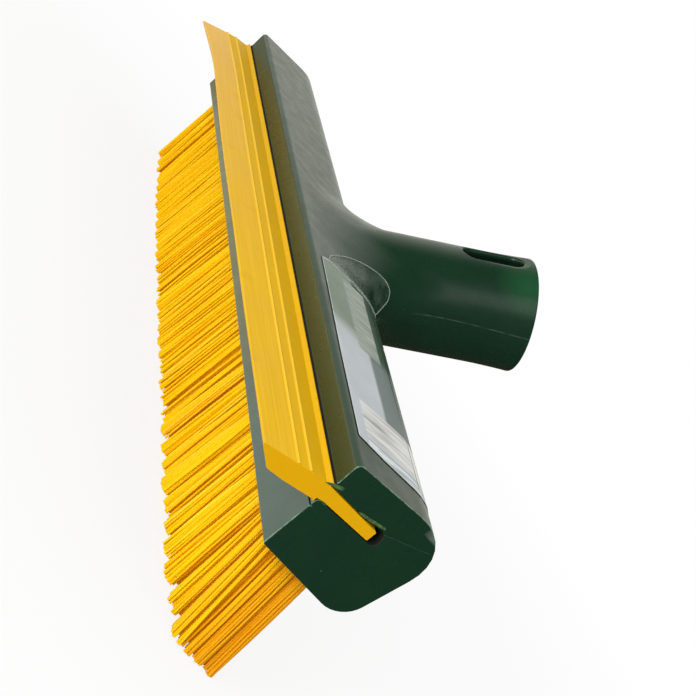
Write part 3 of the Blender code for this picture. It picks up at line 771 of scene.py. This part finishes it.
def head_moulding(look):
    """Block, flared socket, bore, catch hole, blade slot and tuft holes."""
    bm = section_face(block_corners(), -HEAD_END, BLOCK_ROUND_SEGMENTS)
    outline = [Vector((vert.co.y, vert.co.z)) for vert in bm.faces[:][0].verts]
    extrude_to(bm, HEAD_LENGTH)
    ends = [edge for edge in bm.edges
            if abs(sum(vert.co.x for vert in edge.verts)) > HEAD_LENGTH - SAME_PLACE]
    round_off(bm, ends, END_EDGE_RADIUS, END_EDGE_SEGMENTS, "EDGES")
    head = new_object("head", bm, look)
    socket = socket_solid(outline)
    cut(socket, slot_tool())
    cut(socket, underside_tool())
    cut(head, socket, "UNION")
    for tool in (bore_tool(), catch_hole_tool(), tuft_holes_tool()):
        cut(head, tool)
    head.data.transform(Matrix.Translation(SECTION_PLACE))
    head.data.materials.clear()
    head.data.materials.append(look)
    shade_round(head)
    weight_normals(head)
    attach(head, "head")
    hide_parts("head_moulding")
    return head


def moulding_flash(look):
    """Ragged slivers and the parting line that the mould leaves on the end."""
    bm = bmesh.new()
    x = HEAD_END - FLASH_LIFT
    for outline in FLASH_OUTLINES:
        bm.faces.new([bm.verts.new((x, y * MM, z * MM)) for y, z in outline])
    extrude_to(bm, 2 * FLASH_LIFT)
    bmesh.ops.triangulate(bm, faces=bm.faces)
    bmesh.ops.translate(bm, verts=bm.verts, vec=SECTION_PLACE)
    flash = new_object("moulding_flash", bm, look)
    shade_round(flash)
    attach(flash, "head")


def squeegee_blade(look):
    """Extruded rubber strip. Its lip curls down at the far end, sags in the
    middle and ripples a little."""
    bm = section_face(blade_corners(), -HEAD_END, BLADE_ROUND_SEGMENTS)
    extrude_to(bm, HEAD_LENGTH)
    stations = round(HEAD_LENGTH / BLADE_STATION)
    for station in range(1, stations):
        x = HEAD_LENGTH * (station / stations - 0.5)
        slice_mesh(bm, (x, 0, 0), (1, 0, 0))
    hinge = lip_point(0, 0)
    droop = Vector((-math.cos(LIP_DROOP), -math.sin(LIP_DROOP)))
    for vert in bm.verts:
        outward = (Vector((vert.co.y, vert.co.z)) - hinge).dot(droop) / LIP_LENGTH
        if outward <= 0:
            continue
        nearness = max(0, 1 - (vert.co.x + HEAD_END) / CURL_LENGTH)
        wave = vert.co.x / RIPPLE_LENGTH
        ripple = math.sin(wave) + OVERTONE_SHARE * math.sin(OVERTONE_PITCH * wave)
        sag = max(0, 1 - ((vert.co.x - SAG_MIDDLE) / SAG_REACH) ** 2)
        vert.co.z -= CURL_DROP * (outward * nearness) ** CURL_POWER
        vert.co.z -= SAG_DROP * sag * outward ** CURL_POWER
        vert.co.z += RIPPLE_HEIGHT * ripple * outward ** 2
    bmesh.ops.translate(bm, verts=bm.verts, vec=SECTION_PLACE)
    blade = new_object("blade", bm, look)
    shade_round(blade)
    weight_normals(blade)
    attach(blade, "blade")
    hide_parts("squeegee_blade")


def filament_path(draw, swing, root, tuft_tip):
    """Points of one filament, from inside its hole to its cut tip."""
    start = root + swing * TUFT_ROOT_REACH
    start.z = FILAMENT_START
    tip = tuft_tip + Vector((swing.x * TUFT_TIP_REACH_X, swing.y * TUFT_TIP_REACH_Y, 0))
    tip.z += draw.random() * FILAMENT_RAGGED
    bow = Vector((draw.uniform(-1, 1), draw.uniform(-1, 1), 0)) * FILAMENT_BOW
    points = []
    for step in range(FILAMENT_POINTS):
        share_down = step / (FILAMENT_POINTS - 1)
        point = start.lerp(tip, share_down)
        point += bow * math.sin(math.pi * share_down)
        points.append(point)
    return points


def bristle_row(row, look):
    """One row of tufts. Each filament is a thin tube with its own slight bow."""
    draw = random.Random(FILAMENT_SEED + row)
    name = "bristles_%d" % (row + 1)
    curve = bpy.data.curves.new(name, "CURVE")
    curve.dimensions = "3D"
    curve.bevel_depth = FILAMENT_RADIUS
    curve.bevel_resolution = 1
    curve.use_fill_caps = True
    tones = []
    for tuft in range(TUFTS_PER_ROW):
        root, share = tuft_root(row, tuft)
        end_lean = NEAR_END_LEAN if share > 0 else FAR_END_LEAN
        far = max(0, 1 - (HEAD_END + root.x) / FAR_SWEEP_LENGTH)
        near = max(0, 1 - (FIELD_MIDDLE + FIELD_LENGTH / 2 - root.x) / CORNER_SWEEP_LENGTH)
        front_share = 1 - row / ROW_COUNT
        sweep = FAR_SWEEP * far ** FAR_SWEEP_POWER * front_share
        sweep += CORNER_SWEEP * near * front_share ** 2
        wander = Vector((draw.uniform(-1, 1), draw.uniform(-1, 1), 0)) * TUFT_WANDER
        lean = share * abs(share) ** END_LEAN_POWER * end_lean
        tuft_tip = root + Vector((lean, LEAN_BACK + sweep, 0)) + wander
        tuft_tip.z = -BRISTLE_LENGTH + draw.random() * TUFT_RAGGED
        for filament in range(FILAMENTS_PER_TUFT):
            spin = 2 * math.pi * draw.random()
            swing = Vector((math.cos(spin), math.sin(spin), 0)) * draw.random() ** TUFT_FULLNESS
            points = filament_path(draw, swing, root, tuft_tip)
            spline = curve.splines.new("POLY")
            spline.points.add(len(points) - 1)
            for spline_point, point in zip(spline.points, points):
                spline_point.co = (*(point + SECTION_PLACE), 1)
            # Tone is partly chance and partly painted shade: back rows and each tuft's back side get
            # a lower tone, which the material paints deeper orange
            tone = TONE_BY_CHANCE * draw.random() + SHADE_BY_ROW * front_share
            tones.append(tone + SHADE_BY_SIDE * (1 - swing.y))
    guide = put(name, curve)
    mesh = final_mesh(guide)
    bpy.data.objects.remove(guide, do_unlink=True)
    bpy.data.curves.remove(curve)
    obj = put(name, mesh)
    mesh.materials.clear()
    mesh.materials.append(look)
    per_filament = len(mesh.vertices) // len(tones)
    by_vertex = [tones[index // per_filament] for index in range(len(mesh.vertices))]
    mesh.attributes.new("tone", "FLOAT", "POINT").data.foreach_set("value", by_vertex)
    shade_round(obj, FILAMENT_SHARP_ANGLE)
    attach(obj, "head")
    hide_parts("bristle_row_%d" % (row + 1))


def film(name, outline, lift, skin, look):
    """Thin film cut to an outline and laid down onto the head's skin from
    above. The attribute rim is 1 along its cut edge."""
    bm = bmesh.new()
    bm.faces.new([bm.verts.new((x * MM, y * MM, 0)) for x, y in outline])
    round_off(bm, bm.verts[:], LABEL_CORNER, LABEL_CORNER_SEGMENTS)
    bmesh.ops.inset_region(
        bm, faces=bm.faces[:], thickness=LABEL_RIM, use_even_offset=True, use_boundary=True)
    rim = bm.verts.layers.float.new("rim")
    for vert in bm.verts:
        vert[rim] = 1.0 if vert.is_boundary else 0.0
    xs = [vert.co.x for vert in bm.verts]
    ys = [vert.co.y for vert in bm.verts]
    for low, high, normal in ((min(xs), max(xs), (1, 0, 0)), (min(ys), max(ys), (0, 1, 0))):
        for step in range(1, math.ceil((high - low) / LABEL_CELL)):
            slice_mesh(bm, Vector(normal) * (low + step * LABEL_CELL), normal, 10 * SAME_PLACE)
    bmesh.ops.triangulate(bm, faces=bm.faces)
    for vert in bm.verts:
        above = Vector((vert.co.x, vert.co.y, 4 * FRONT_HEIGHT)) + SECTION_PLACE
        hit, normal = skin.ray_cast(above, Vector((0, 0, -1)))[:2]
        vert.co = hit + normal * lift
    inside = [vert for vert in bm.verts if not vert.is_boundary]
    for turn in range(LABEL_SMOOTHINGS):
        bmesh.ops.smooth_vert(bm, verts=inside, factor=0.5, use_axis_z=True)
    bmesh.ops.recalc_face_normals(bm, faces=bm.faces)
    obj = new_object(name, bm, look)
    shade_round(obj)
    wall = obj.modifiers.new("thickness", "SOLIDIFY")
    wall.thickness = LABEL_THICKNESS
    wall.offset = -1.0
    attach(obj, "head")


def label(head, film_look, clear_look):
    """Film label on the top face, and its loose clear end over the flare."""
    graph = bpy.context.evaluated_depsgraph_get()
    graph.update()
    skin = BVHTree.FromObject(head, graph)
    film("label", LABEL_OUTLINE, LABEL_LIFT, skin, film_look)
    film("label_flap", FLAP_OUTLINE, FLAP_LIFT, skin, clear_look)


# Materials

def new_material(name):
    """Material, its node tree, its shader, and the place on the object that
    its patterns follow."""
    material = bpy.data.materials.new(name)
    material.use_nodes = True
    tree = material.node_tree
    place = add(tree, "TexCoord")["Object"]
    return material, tree, tree.nodes["Principled BSDF"], place


def mask(tree, *parts):
    """Share from 0 to 1 that shows where all of its parts do. A part is a
    socket, a number, or a value and the fade over which it comes in."""
    share = None
    for part in parts:
        if isinstance(part, tuple):
            value, fade = part
            part = add(tree, "MapRange", (value, *fade))[0]
        if share is not None:
            part = add(tree, "Math", (share, part), operation="MULTIPLY")[0]
        share = part
    return share


def clouds(tree, place, size, fade=None, detail=2.0, roughness=0.5, stretch=None):
    """Cloudy pattern with blobs of about the given size in metres, longer
    along an axis whose stretch is below 1. With a fade it is a mask."""
    if stretch:
        place = add(tree, "Mapping", {"Vector": place, "Scale": stretch})[0]
    value = add(tree, "TexNoise", {
        "Vector": place, "Scale": 1 / size, "Detail": detail, "Roughness": roughness})[0]
    return mask(tree, (value, fade)) if fade else value


def layered(tree, colour, *layers):
    """Colour built up in coats: each tone lies over the ones before it, where
    the mask of the parts beside it shows."""
    for tone, *parts in layers:
        inputs = {0: mask(tree, *parts), 6: colour, 7: tone}
        colour = add(tree, "Mix", inputs, data_type="RGBA")[2]
    return colour


def section_axes(tree, place):
    """Place as x along the head, y back and z up from the block's front foot."""
    from_foot = add(tree, "VectorMath", (place, SECTION_PLACE), operation="SUBTRACT")[0]
    return add(tree, "SeparateXYZ", (from_foot,))


def green_polypropylene():
    """Injection-moulded polypropylene, dark green. The eye gets a satin skin with soft reflections,
    faint flow mottling, fine scuffs along the faces, a few dust specks and a broken parting line.
    Painted light is added: a pale ragged highlight on the upper end edges, a ragged band of sheen
    along the top's back edge, a paler green glow where the socket's wall is thin, a highlight on the
    catch hole's near rim, and shade darkening the hole's wall and the slot behind the blade."""
    material, tree, shader, place = new_material("green_polypropylene_moulded")
    x, y, z = section_axes(tree, place)
    from_middle = add(tree, "Math", (x,), operation="ABSOLUTE")[0]
    mottle = clouds(tree, place, 14 * MM, detail=3)
    scuffs = clouds(
        tree, place, 0.9 * MM, SCUFF_FADE, detail=4, roughness=0.6, stretch=(0.12, 1.0, 1.0))
    scuffed_part = clouds(tree, place, 22 * MM, SCUFFED_PART_FADE, detail=1)
    dust = add(tree, "TexVoronoi", {"Vector": place, "Scale": 1 / SPECK_SPACING})["Distance"]
    from_glow_place = add(tree, "VectorMath", (place, THIN_WALL_PLACE), operation="DISTANCE")["Value"]

    along, down = socket_axes()
    seat = SOCKET_SEAT + SECTION_PLACE
    reach = add(tree, "VectorMath", (place, along), operation="DOT_PRODUCT")["Value"]
    tube_foot = seat.dot(along) + PARTING_START
    on_tube = mask(tree, (reach, (tube_foot, tube_foot + PARTING_RUN_IN)))
    across = down + along * PARTING_TILT
    aside = add(tree, "VectorMath", (place, across), operation="DOT_PRODUCT")["Value"]
    aside = add(tree, "Math", (aside, seat.dot(across) + PARTING_DROP), operation="SUBTRACT")[0]
    from_parting = add(tree, "Math", (aside,), operation="ABSOLUTE")[0]
    broken = clouds(tree, place, 3 * MM, PARTING_BREAKS_FADE)

    from_seat = add(tree, "VectorMath", (place, seat), operation="SUBTRACT")[0]
    from_axis = add(tree, "VectorMath", (from_seat, along), operation="CROSS_PRODUCT")[0]
    radius = add(tree, "VectorMath", (from_axis,), operation="LENGTH")["Value"]
    # Painted shade: the catch hole's inner wall is darkened nearly to black
    hole_wall_shade = mask(tree, (radius, HOLE_WALL_SHADE_FADE))
    mouth = seat.dot(along) + SOCKET_REACH
    below_lip = mask(tree, (reach, (mouth - HOLE_LIP_GAP, mouth - 1.5 * HOLE_LIP_GAP)))
    # Pale painted highlight for the catch hole's rounded rim, going over into the painted shade of
    # its wall
    rim_highlight_and_shade = layered(tree, "#6E8873", ("#020A06", hole_wall_shade))

    off_face = mask(tree, (from_middle, END_FACE_FADE))
    # Painted highlight on the end edges is kept to the front and top edges, which face the light,
    # and broken up raggedly
    on_front = mask(tree, (y, EDGE_FRONT_FADE))
    on_top = mask(tree, (z, EDGE_TOP_FADE))
    upper = add(tree, "Math", (on_front, on_top), operation="MAXIMUM")[0]
    ragged = clouds(tree, place, 1.5 * MM, EDGE_HIGHLIGHT_BREAKS_FADE)
    sheen_breaks = clouds(tree, place, 4 * MM, BAND_SHEEN_BREAKS_FADE, detail=3, stretch=(0.25, 1.0, 1.0))
    # Painted shade: the slot's cavity behind the blade's root is darkened nearly to black and made
    # matt
    slot_shade = mask(tree, off_face, (z, SLOT_FLOOR_FADE), (z, SLOT_ROOF_FADE), (y, SLOT_DEPTH_FADE))
    colour = layered(
        tree, "#092818",
        ("#0F301D", mottle),
        ("#5F6E61", scuffs, scuffed_part, SCUFF_STRENGTH),
        ("#8C988D", (dust, SPECK_FADE)),
        # Painted glow where light comes through the socket's thin wall
        ("#1A5A30", (from_glow_place, THIN_WALL_GLOW_FADE)),
        ("#7D8C80", (from_parting, PARTING_FADE), on_tube, broken),
        # Painted shade inside the catch hole
        ("#020A06", hole_wall_shade, on_tube),
        # Painted highlight on the catch hole's rim, on its near side only
        (rim_highlight_and_shade, (radius, HOLE_RIM_HIGHLIGHT_FADE), below_lip, (x, HOLE_NEAR_SIDE_FADE), on_tube),
        # Painted highlight: pale ragged line along the lit end edges
        ("#6E8F72", (from_middle, END_EDGE_FADE), off_face, upper, ragged),
        # Painted sheen: ragged pale band along the top's back edge, away from the flare
        ("#A3AEA5", sheen_breaks, (y, BAND_FADE), (z, BAND_HEIGHT_FADE), (from_middle, BAND_FLARE_FADE)),
        ("#0C0802", slot_shade))

    satin = clouds(tree, place, 5 * MM, SATIN_FADE, detail=3)
    matt = mask(tree, slot_shade, SLOT_ROUGHNESS)
    gloss = add(tree, "Math", (satin, matt), operation="MAXIMUM")[0]
    waves = clouds(tree, place, 16 * MM, detail=1)
    wavy = add(tree, "Bump", {"Strength": 1.0, "Distance": 0.12 * MM, "Height": waves})[0]
    grain = clouds(tree, place, 0.5 * MM)
    bump = add(tree, "Bump", {
        "Strength": 0.03, "Distance": 0.05 * MM, "Height": grain, "Normal": wavy})[0]
    connect(tree, shader, {"Base Color": colour, "Roughness": gloss, "Normal": bump, "IOR": 1.48})
    return material


def thin_polypropylene():
    """Thin moulding flash of the same polypropylene. Light comes through it,
    so the eye gets a paler, warmer green with uneven patches."""
    material, tree, shader, place = new_material("green_polypropylene_flash")
    y = section_axes(tree, place)["Y"]
    patches = clouds(tree, place, 1.2 * MM, FLASH_PATCH_FADE)
    line_y = FLASH_OUTLINES[2][0][0] * MM
    colour = layered(
        tree, "#22402A", ("#48622E", patches), ("#21402E", (y, (line_y - FLASH_LINE_FADE, line_y))))
    connect(tree, shader, {"Base Color": colour, "Roughness": 0.4})
    return material


def yellow_rubber():
    """Extruded natural-look rubber, yellow. The eye gets a dull skin, pale where it has bloomed,
    with a painted sheen that grows towards the far end, fine lines along the strip, painted
    highlights along the rib crests, and finger smears."""
    material, tree, shader, place = new_material("yellow_rubber_extruded")
    x, y = section_axes(tree, place)[:2]
    mottle = clouds(tree, place, 18 * MM, detail=3)
    lines = clouds(tree, place, 0.6 * MM, stretch=(0.01, 1.0, 1.0))
    lip_y = lip_point(RIB_OFFSETS[1], 0).x
    on_lip = mask(tree, (y, (lip_y, lip_y - LIP_FADE)))
    bloom_and_sheen = add(tree, "Math", (mask(tree, (x, BLOOM_AND_SHEEN_FADE)), BLOOM_AND_SHEEN_POWER), operation="POWER")[0]
    smears = clouds(tree, place, 9 * MM, SMEAR_FADE)
    # Painted highlights along the crests of both ribs
    crest_highlights = []
    for offset in RIB_OFFSETS:
        aside = add(tree, "Math", (y, lip_point(offset, 0).x), operation="SUBTRACT")[0]
        from_crest = add(tree, "Math", (aside,), operation="ABSOLUTE")[0]
        crest_highlights.append(("#E6BE3C", (from_crest, CREST_HIGHLIGHT_FADE)))
    colour = layered(
        tree, "#CE9E06",
        ("#D6A80A", mottle),
        ("#F0BE38", (lines, LINE_FADE), on_lip),
        # Pale bloomed skin and painted sheen on the lip, both stronger towards the far end
        ("#E2B478", bloom_and_sheen, on_lip, BLOOM_AND_SHEEN_STRENGTH),
        ("#B98A18", smears),
        *crest_highlights,
        ("#C49200", (x, BLADE_END_FADE)))
    dull = mask(tree, (mottle, DULL_FADE))
    bump = add(tree, "Bump", {"Strength": 0.15, "Distance": 0.05 * MM, "Height": lines})[0]
    connect(tree, shader, {
        "Base Color": colour, "Roughness": dull, "Normal": bump, "IOR": 1.5,
        "Specular IOR Level": 0.06})
    return material


def yellow_filament():
    """Extruded synthetic filament, golden yellow and a little see-through.
    The eye gets bright streaks, each with its own tone, and orange depths painted as shade in the
    back rows, at the back of each tuft and at the near end.
    A faint glow stands for the light that passes through the filaments."""
    material, tree, shader, place = new_material("yellow_filament_extruded")
    x, y = section_axes(tree, place)[:2]
    tone = add(tree, "Attribute", attribute_name="tone")["Fac"]
    streaks = clouds(tree, place, 1.5 * MM, STREAK_FADE, stretch=(1.0, 1.0, 0.05))
    colour = layered(
        tree, "#DA9800",
        ("#E4C602", tone),
        ("#F08A00", streaks),
        ("#F8DE6A", (tone, PALE_FADE)),
        # Painted shade: deeper orange at the near end and in the back rows
        ("#C07A00", (x, SHADED_END_FADE), (y, SHADED_ROW_FADE)))
    connect(tree, shader, {
        "Base Color": colour, "Roughness": 0.5, "Specular IOR Level": 0.1,
        "Emission Color": "#FF9A00", "Emission Strength": FILAMENT_GLOW})
    return material


def label_film():
    """Plastic film label with nothing written on it. The eye gets a cloudy
    pale strip, a darker clear band behind it, a folded patch across both, and a silvery foil panel.
    Painted light is added: a reflection over the clear end, the foil's reflections with streaky
    creases, a highlight along the rim, and a shadow line just outside it on the front and near
    edges."""
    material, tree, shader, place = new_material("label_film_printed")
    x, y = section_axes(tree, place)[:2]
    rim = add(tree, "Attribute", attribute_name="rim")["Fac"]
    cloud = clouds(tree, place, 12 * MM, detail=3)
    # Greenish grey where the clear film shows the green below it, lightened by a painted reflection
    # of the white studio
    flap_side = layered(tree, "#667264", ("#83907F", cloud))
    strip = layered(tree, "#A0A6AA", ("#BCC0C3", cloud))
    band = layered(tree, "#2F4A36", ("#6C7674", (x, CLEAR_BAND_TONE_FADE)))
    folds = clouds(tree, place, 1.0 * MM, FOLD_FADE, stretch=(1.0, 0.05, 1.0))
    patch = layered(tree, "#79837A", ("#A0A79D", folds))
    in_patch = [(x, fade) for fade in PATCH_X_FADES] + [(y, fade) for fade in PATCH_Y_FADES]
    in_panel = mask(tree, (x, (PANEL_X, PANEL_X + PANEL_FADE)), (y, (PANEL_Y, PANEL_Y + PANEL_FADE)))
    streaks = clouds(
        tree, place, 1.8 * MM, detail=3, roughness=0.6, stretch=(1.0, 0.04, 1.0))
    # The silvery foil is painted as its reflections: dark crease streaks, lighter towards the back,
    # and light highlight streaks along its near border
    border = layered(tree, "#8E989B", ("#C8CFD1", (streaks, BORDER_HIGHLIGHT_FADE)))
    foil = layered(
        tree, "#CDCDCB",
        ("#8F8D8A", (streaks, FOIL_CREASE_FADE)),
        ("#E6E6E2", (y, FOIL_BACK_HIGHLIGHT_FADE)),
        (border, (x, FOIL_BORDER_FADE)))
    # Painted shadow line just outside the rim on the front and near edges, where the lifted label
    # casts shade
    facing_front = mask(tree, (y, SHADOW_FRONT_FADE))
    facing_near = mask(tree, (x, SHADOW_NEAR_FADE))
    shadowed_side = add(tree, "Math", (facing_front, facing_near), operation="MAXIMUM")[0]
    colour = layered(
        tree, flap_side,
        (strip, (x, FLAP_END_FADE)),
        (band, (y, CLEAR_BAND_FADE)),
        (patch, *in_patch),
        (foil, in_panel),
        # Painted highlight along the label's cut rim
        ("#CBD3D2", (rim, LABEL_RIM_HIGHLIGHT_FADE)),
        ("#0A100C", (rim, LABEL_SHADOW_FADE), shadowed_side))
    gloss = mask(tree, (in_panel, PANEL_GLOSS_FADE))
    creases = clouds(tree, place, 5 * MM, detail=3, stretch=(0.5, 1.0, 1.0))
    bump = add(tree, "Bump", {"Strength": 0.25, "Distance": 0.3 * MM, "Height": creases})[0]
    connect(tree, shader, {
        "Base Color": colour, "Roughness": gloss, "Normal": bump, "Specular IOR Level": 0.3})
    return material


def clear_film():
    """Clear plastic film, die-cut. The eye gets the green below it, hazed a
    little, faint folds and a painted highlight along the thin rim where it was cut."""
    material, tree, shader, place = new_material("clear_film_die_cut")
    rim = add(tree, "Attribute", attribute_name="rim")["Fac"]
    folds = clouds(tree, place, 4 * MM, detail=3, stretch=(0.4, 1.0, 1.0))
    haze = mask(tree, (folds, HAZE_FADE))
    # Painted highlight: the cut rim is made pale and nearly opaque
    edge = mask(tree, (rim, FLAP_RIM_HIGHLIGHT_FADE))
    alpha = add(tree, "Math", (haze, edge), operation="ADD")[0]
    gloss = mask(tree, (folds, FLAP_GLOSS_FADE))
    bump = add(tree, "Bump", {"Strength": 0.3, "Distance": 0.3 * MM, "Height": folds})[0]
    connect(tree, shader, {
        "Base Color": "#A9B5A9", "Alpha": alpha, "Roughness": gloss, "Normal": bump})
    return material


# Stage

def straight_rays(tree, path):
    """Mask of the rays that see the backdrop itself, also through the film."""
    seen = (path["Is Camera Ray"], path["Is Transmission Ray"])
    return add(tree, "Math", seen, operation="MAXIMUM")[0]


def floor():
    """Pale round floor that the bristle tips stand on. Reflections see a
    painted glow on it, bright towards the front left and dim behind."""
    bm = bmesh.new()
    bmesh.ops.create_circle(bm, cap_ends=True, segments=FLOOR_SIDES, radius=FLOOR_RADIUS)
    material, tree, shader, place = new_material("pale_floor")
    connect(tree, shader, {"Base Color": "#DCDCDA", "Roughness": 0.9, "Specular IOR Level": 0.0})
    path = add(tree, "LightPath")
    x, y = add(tree, "SeparateXYZ", (place,))[:2]
    # Painted glow that only reflections see, bright towards the front left and dim behind
    forward = add(tree, "VectorMath", (place, FLOOR_GLOW_HEADING), operation="DOT_PRODUCT")["Value"]
    painted_glow = mask(tree, (forward, FLOOR_GLOW_FADE))
    distant = mask(tree, (x, FLOOR_FAR_FADE))
    painted_glow = add(tree, "Math", (painted_glow, distant), operation="MAXIMUM")[0]
    in_corner = mask(tree, (x, FLOOR_CORNER_X_FADE), (y, FLOOR_CORNER_Y_FADE))
    painted_glow = add(tree, "Mix", {"Factor": in_corner, "A": painted_glow, "B": FLOOR_GLOSS_CORNER})[0]
    # Painted light: the glow is warm in front and cooler towards the near end
    tint = layered(tree, "#FFF6C8", ("#F2FFF6", (x, FLOOR_TINT_FADE)))
    glow = add(tree, "Emission", {"Color": tint, "Strength": painted_glow})[0]
    glossy = add(tree, "MixShader", (path["Is Glossy Ray"], shader.outputs[0], glow))[0]
    spread = add(tree, "VectorMath", (place,), operation="LENGTH")["Value"]
    white_share = mask(tree, straight_rays(tree, path), (spread, FLOOR_CLEAN_FADE))
    white = add(tree, "Emission", {"Color": "#FFFFFF", "Strength": 1.0})[0]
    mixed = add(tree, "MixShader", (white_share, glossy, white))[0]
    connect(tree, tree.nodes["Material Output"], {"Surface": mixed})
    obj = new_object("floor", bm, material)


def world():
    """Even white studio. Reflections find it dim towards the near end and
    brighter low down."""
    scene_world = bpy.data.worlds.new("studio")
    bpy.context.scene.world = scene_world
    scene_world.use_nodes = True
    tree = scene_world.node_tree
    path = add(tree, "LightPath")
    heading = add(tree, "SeparateXYZ", (add(tree, "TexCoord")["Generated"],))
    mirrored = mask(tree, (heading["X"], WORLD_SIDE_FADE), (heading["Z"], WORLD_LOW_FADE))
    glossy_ray = path["Is Glossy Ray"]
    strength = add(tree, "Mix", {"Factor": glossy_ray, "A": WORLD_STRENGTH, "B": mirrored})[0]
    strength = add(tree, "Mix", {"Factor": straight_rays(tree, path), "A": strength, "B": 1.0})[0]
    tint = layered(tree, "#FFFFFF", ("#FFFFF4", glossy_ray))
    connect(tree, tree.nodes["Background"], {"Strength": strength, "Color": tint})


def soft_lamp(name, place, size, power):
    """Square lamp that faces the object."""
    data = bpy.data.lights.new(name, "AREA")
    data.shape = "SQUARE"
    data.size = size
    data.energy = power
    lamp = put(name, data)
    lamp.location = place
    lamp.rotation_euler = (-Vector(place)).to_track_quat("-Z", "Y").to_euler()
    lamp.visible_camera = False


def camera():
    data = bpy.data.cameras.new("camera")
    data.lens = CAMERA_LENS
    data.sensor_width = SENSOR_WIDTH
    data.clip_start = CAMERA_CLIP_START
    obj = put("camera", data)
    obj.location = CAMERA_PLACE
    obj.rotation_euler = CAMERA_TURN
    bpy.context.scene.camera = obj


camera()
world()
floor()
soft_lamp("key", *KEY_LAMP)
soft_lamp("fill", *FILL_LAMP)
bpy.context.scene.view_settings.view_transform = "Standard"

head_object = head_moulding(green_polypropylene())
moulding_flash(thin_polypropylene())
squeegee_blade(yellow_rubber())
filament_look = yellow_filament()
for row_index in range(ROW_COUNT):
    bristle_row(row_index, filament_look)
label(head_object, label_film(), clear_film())
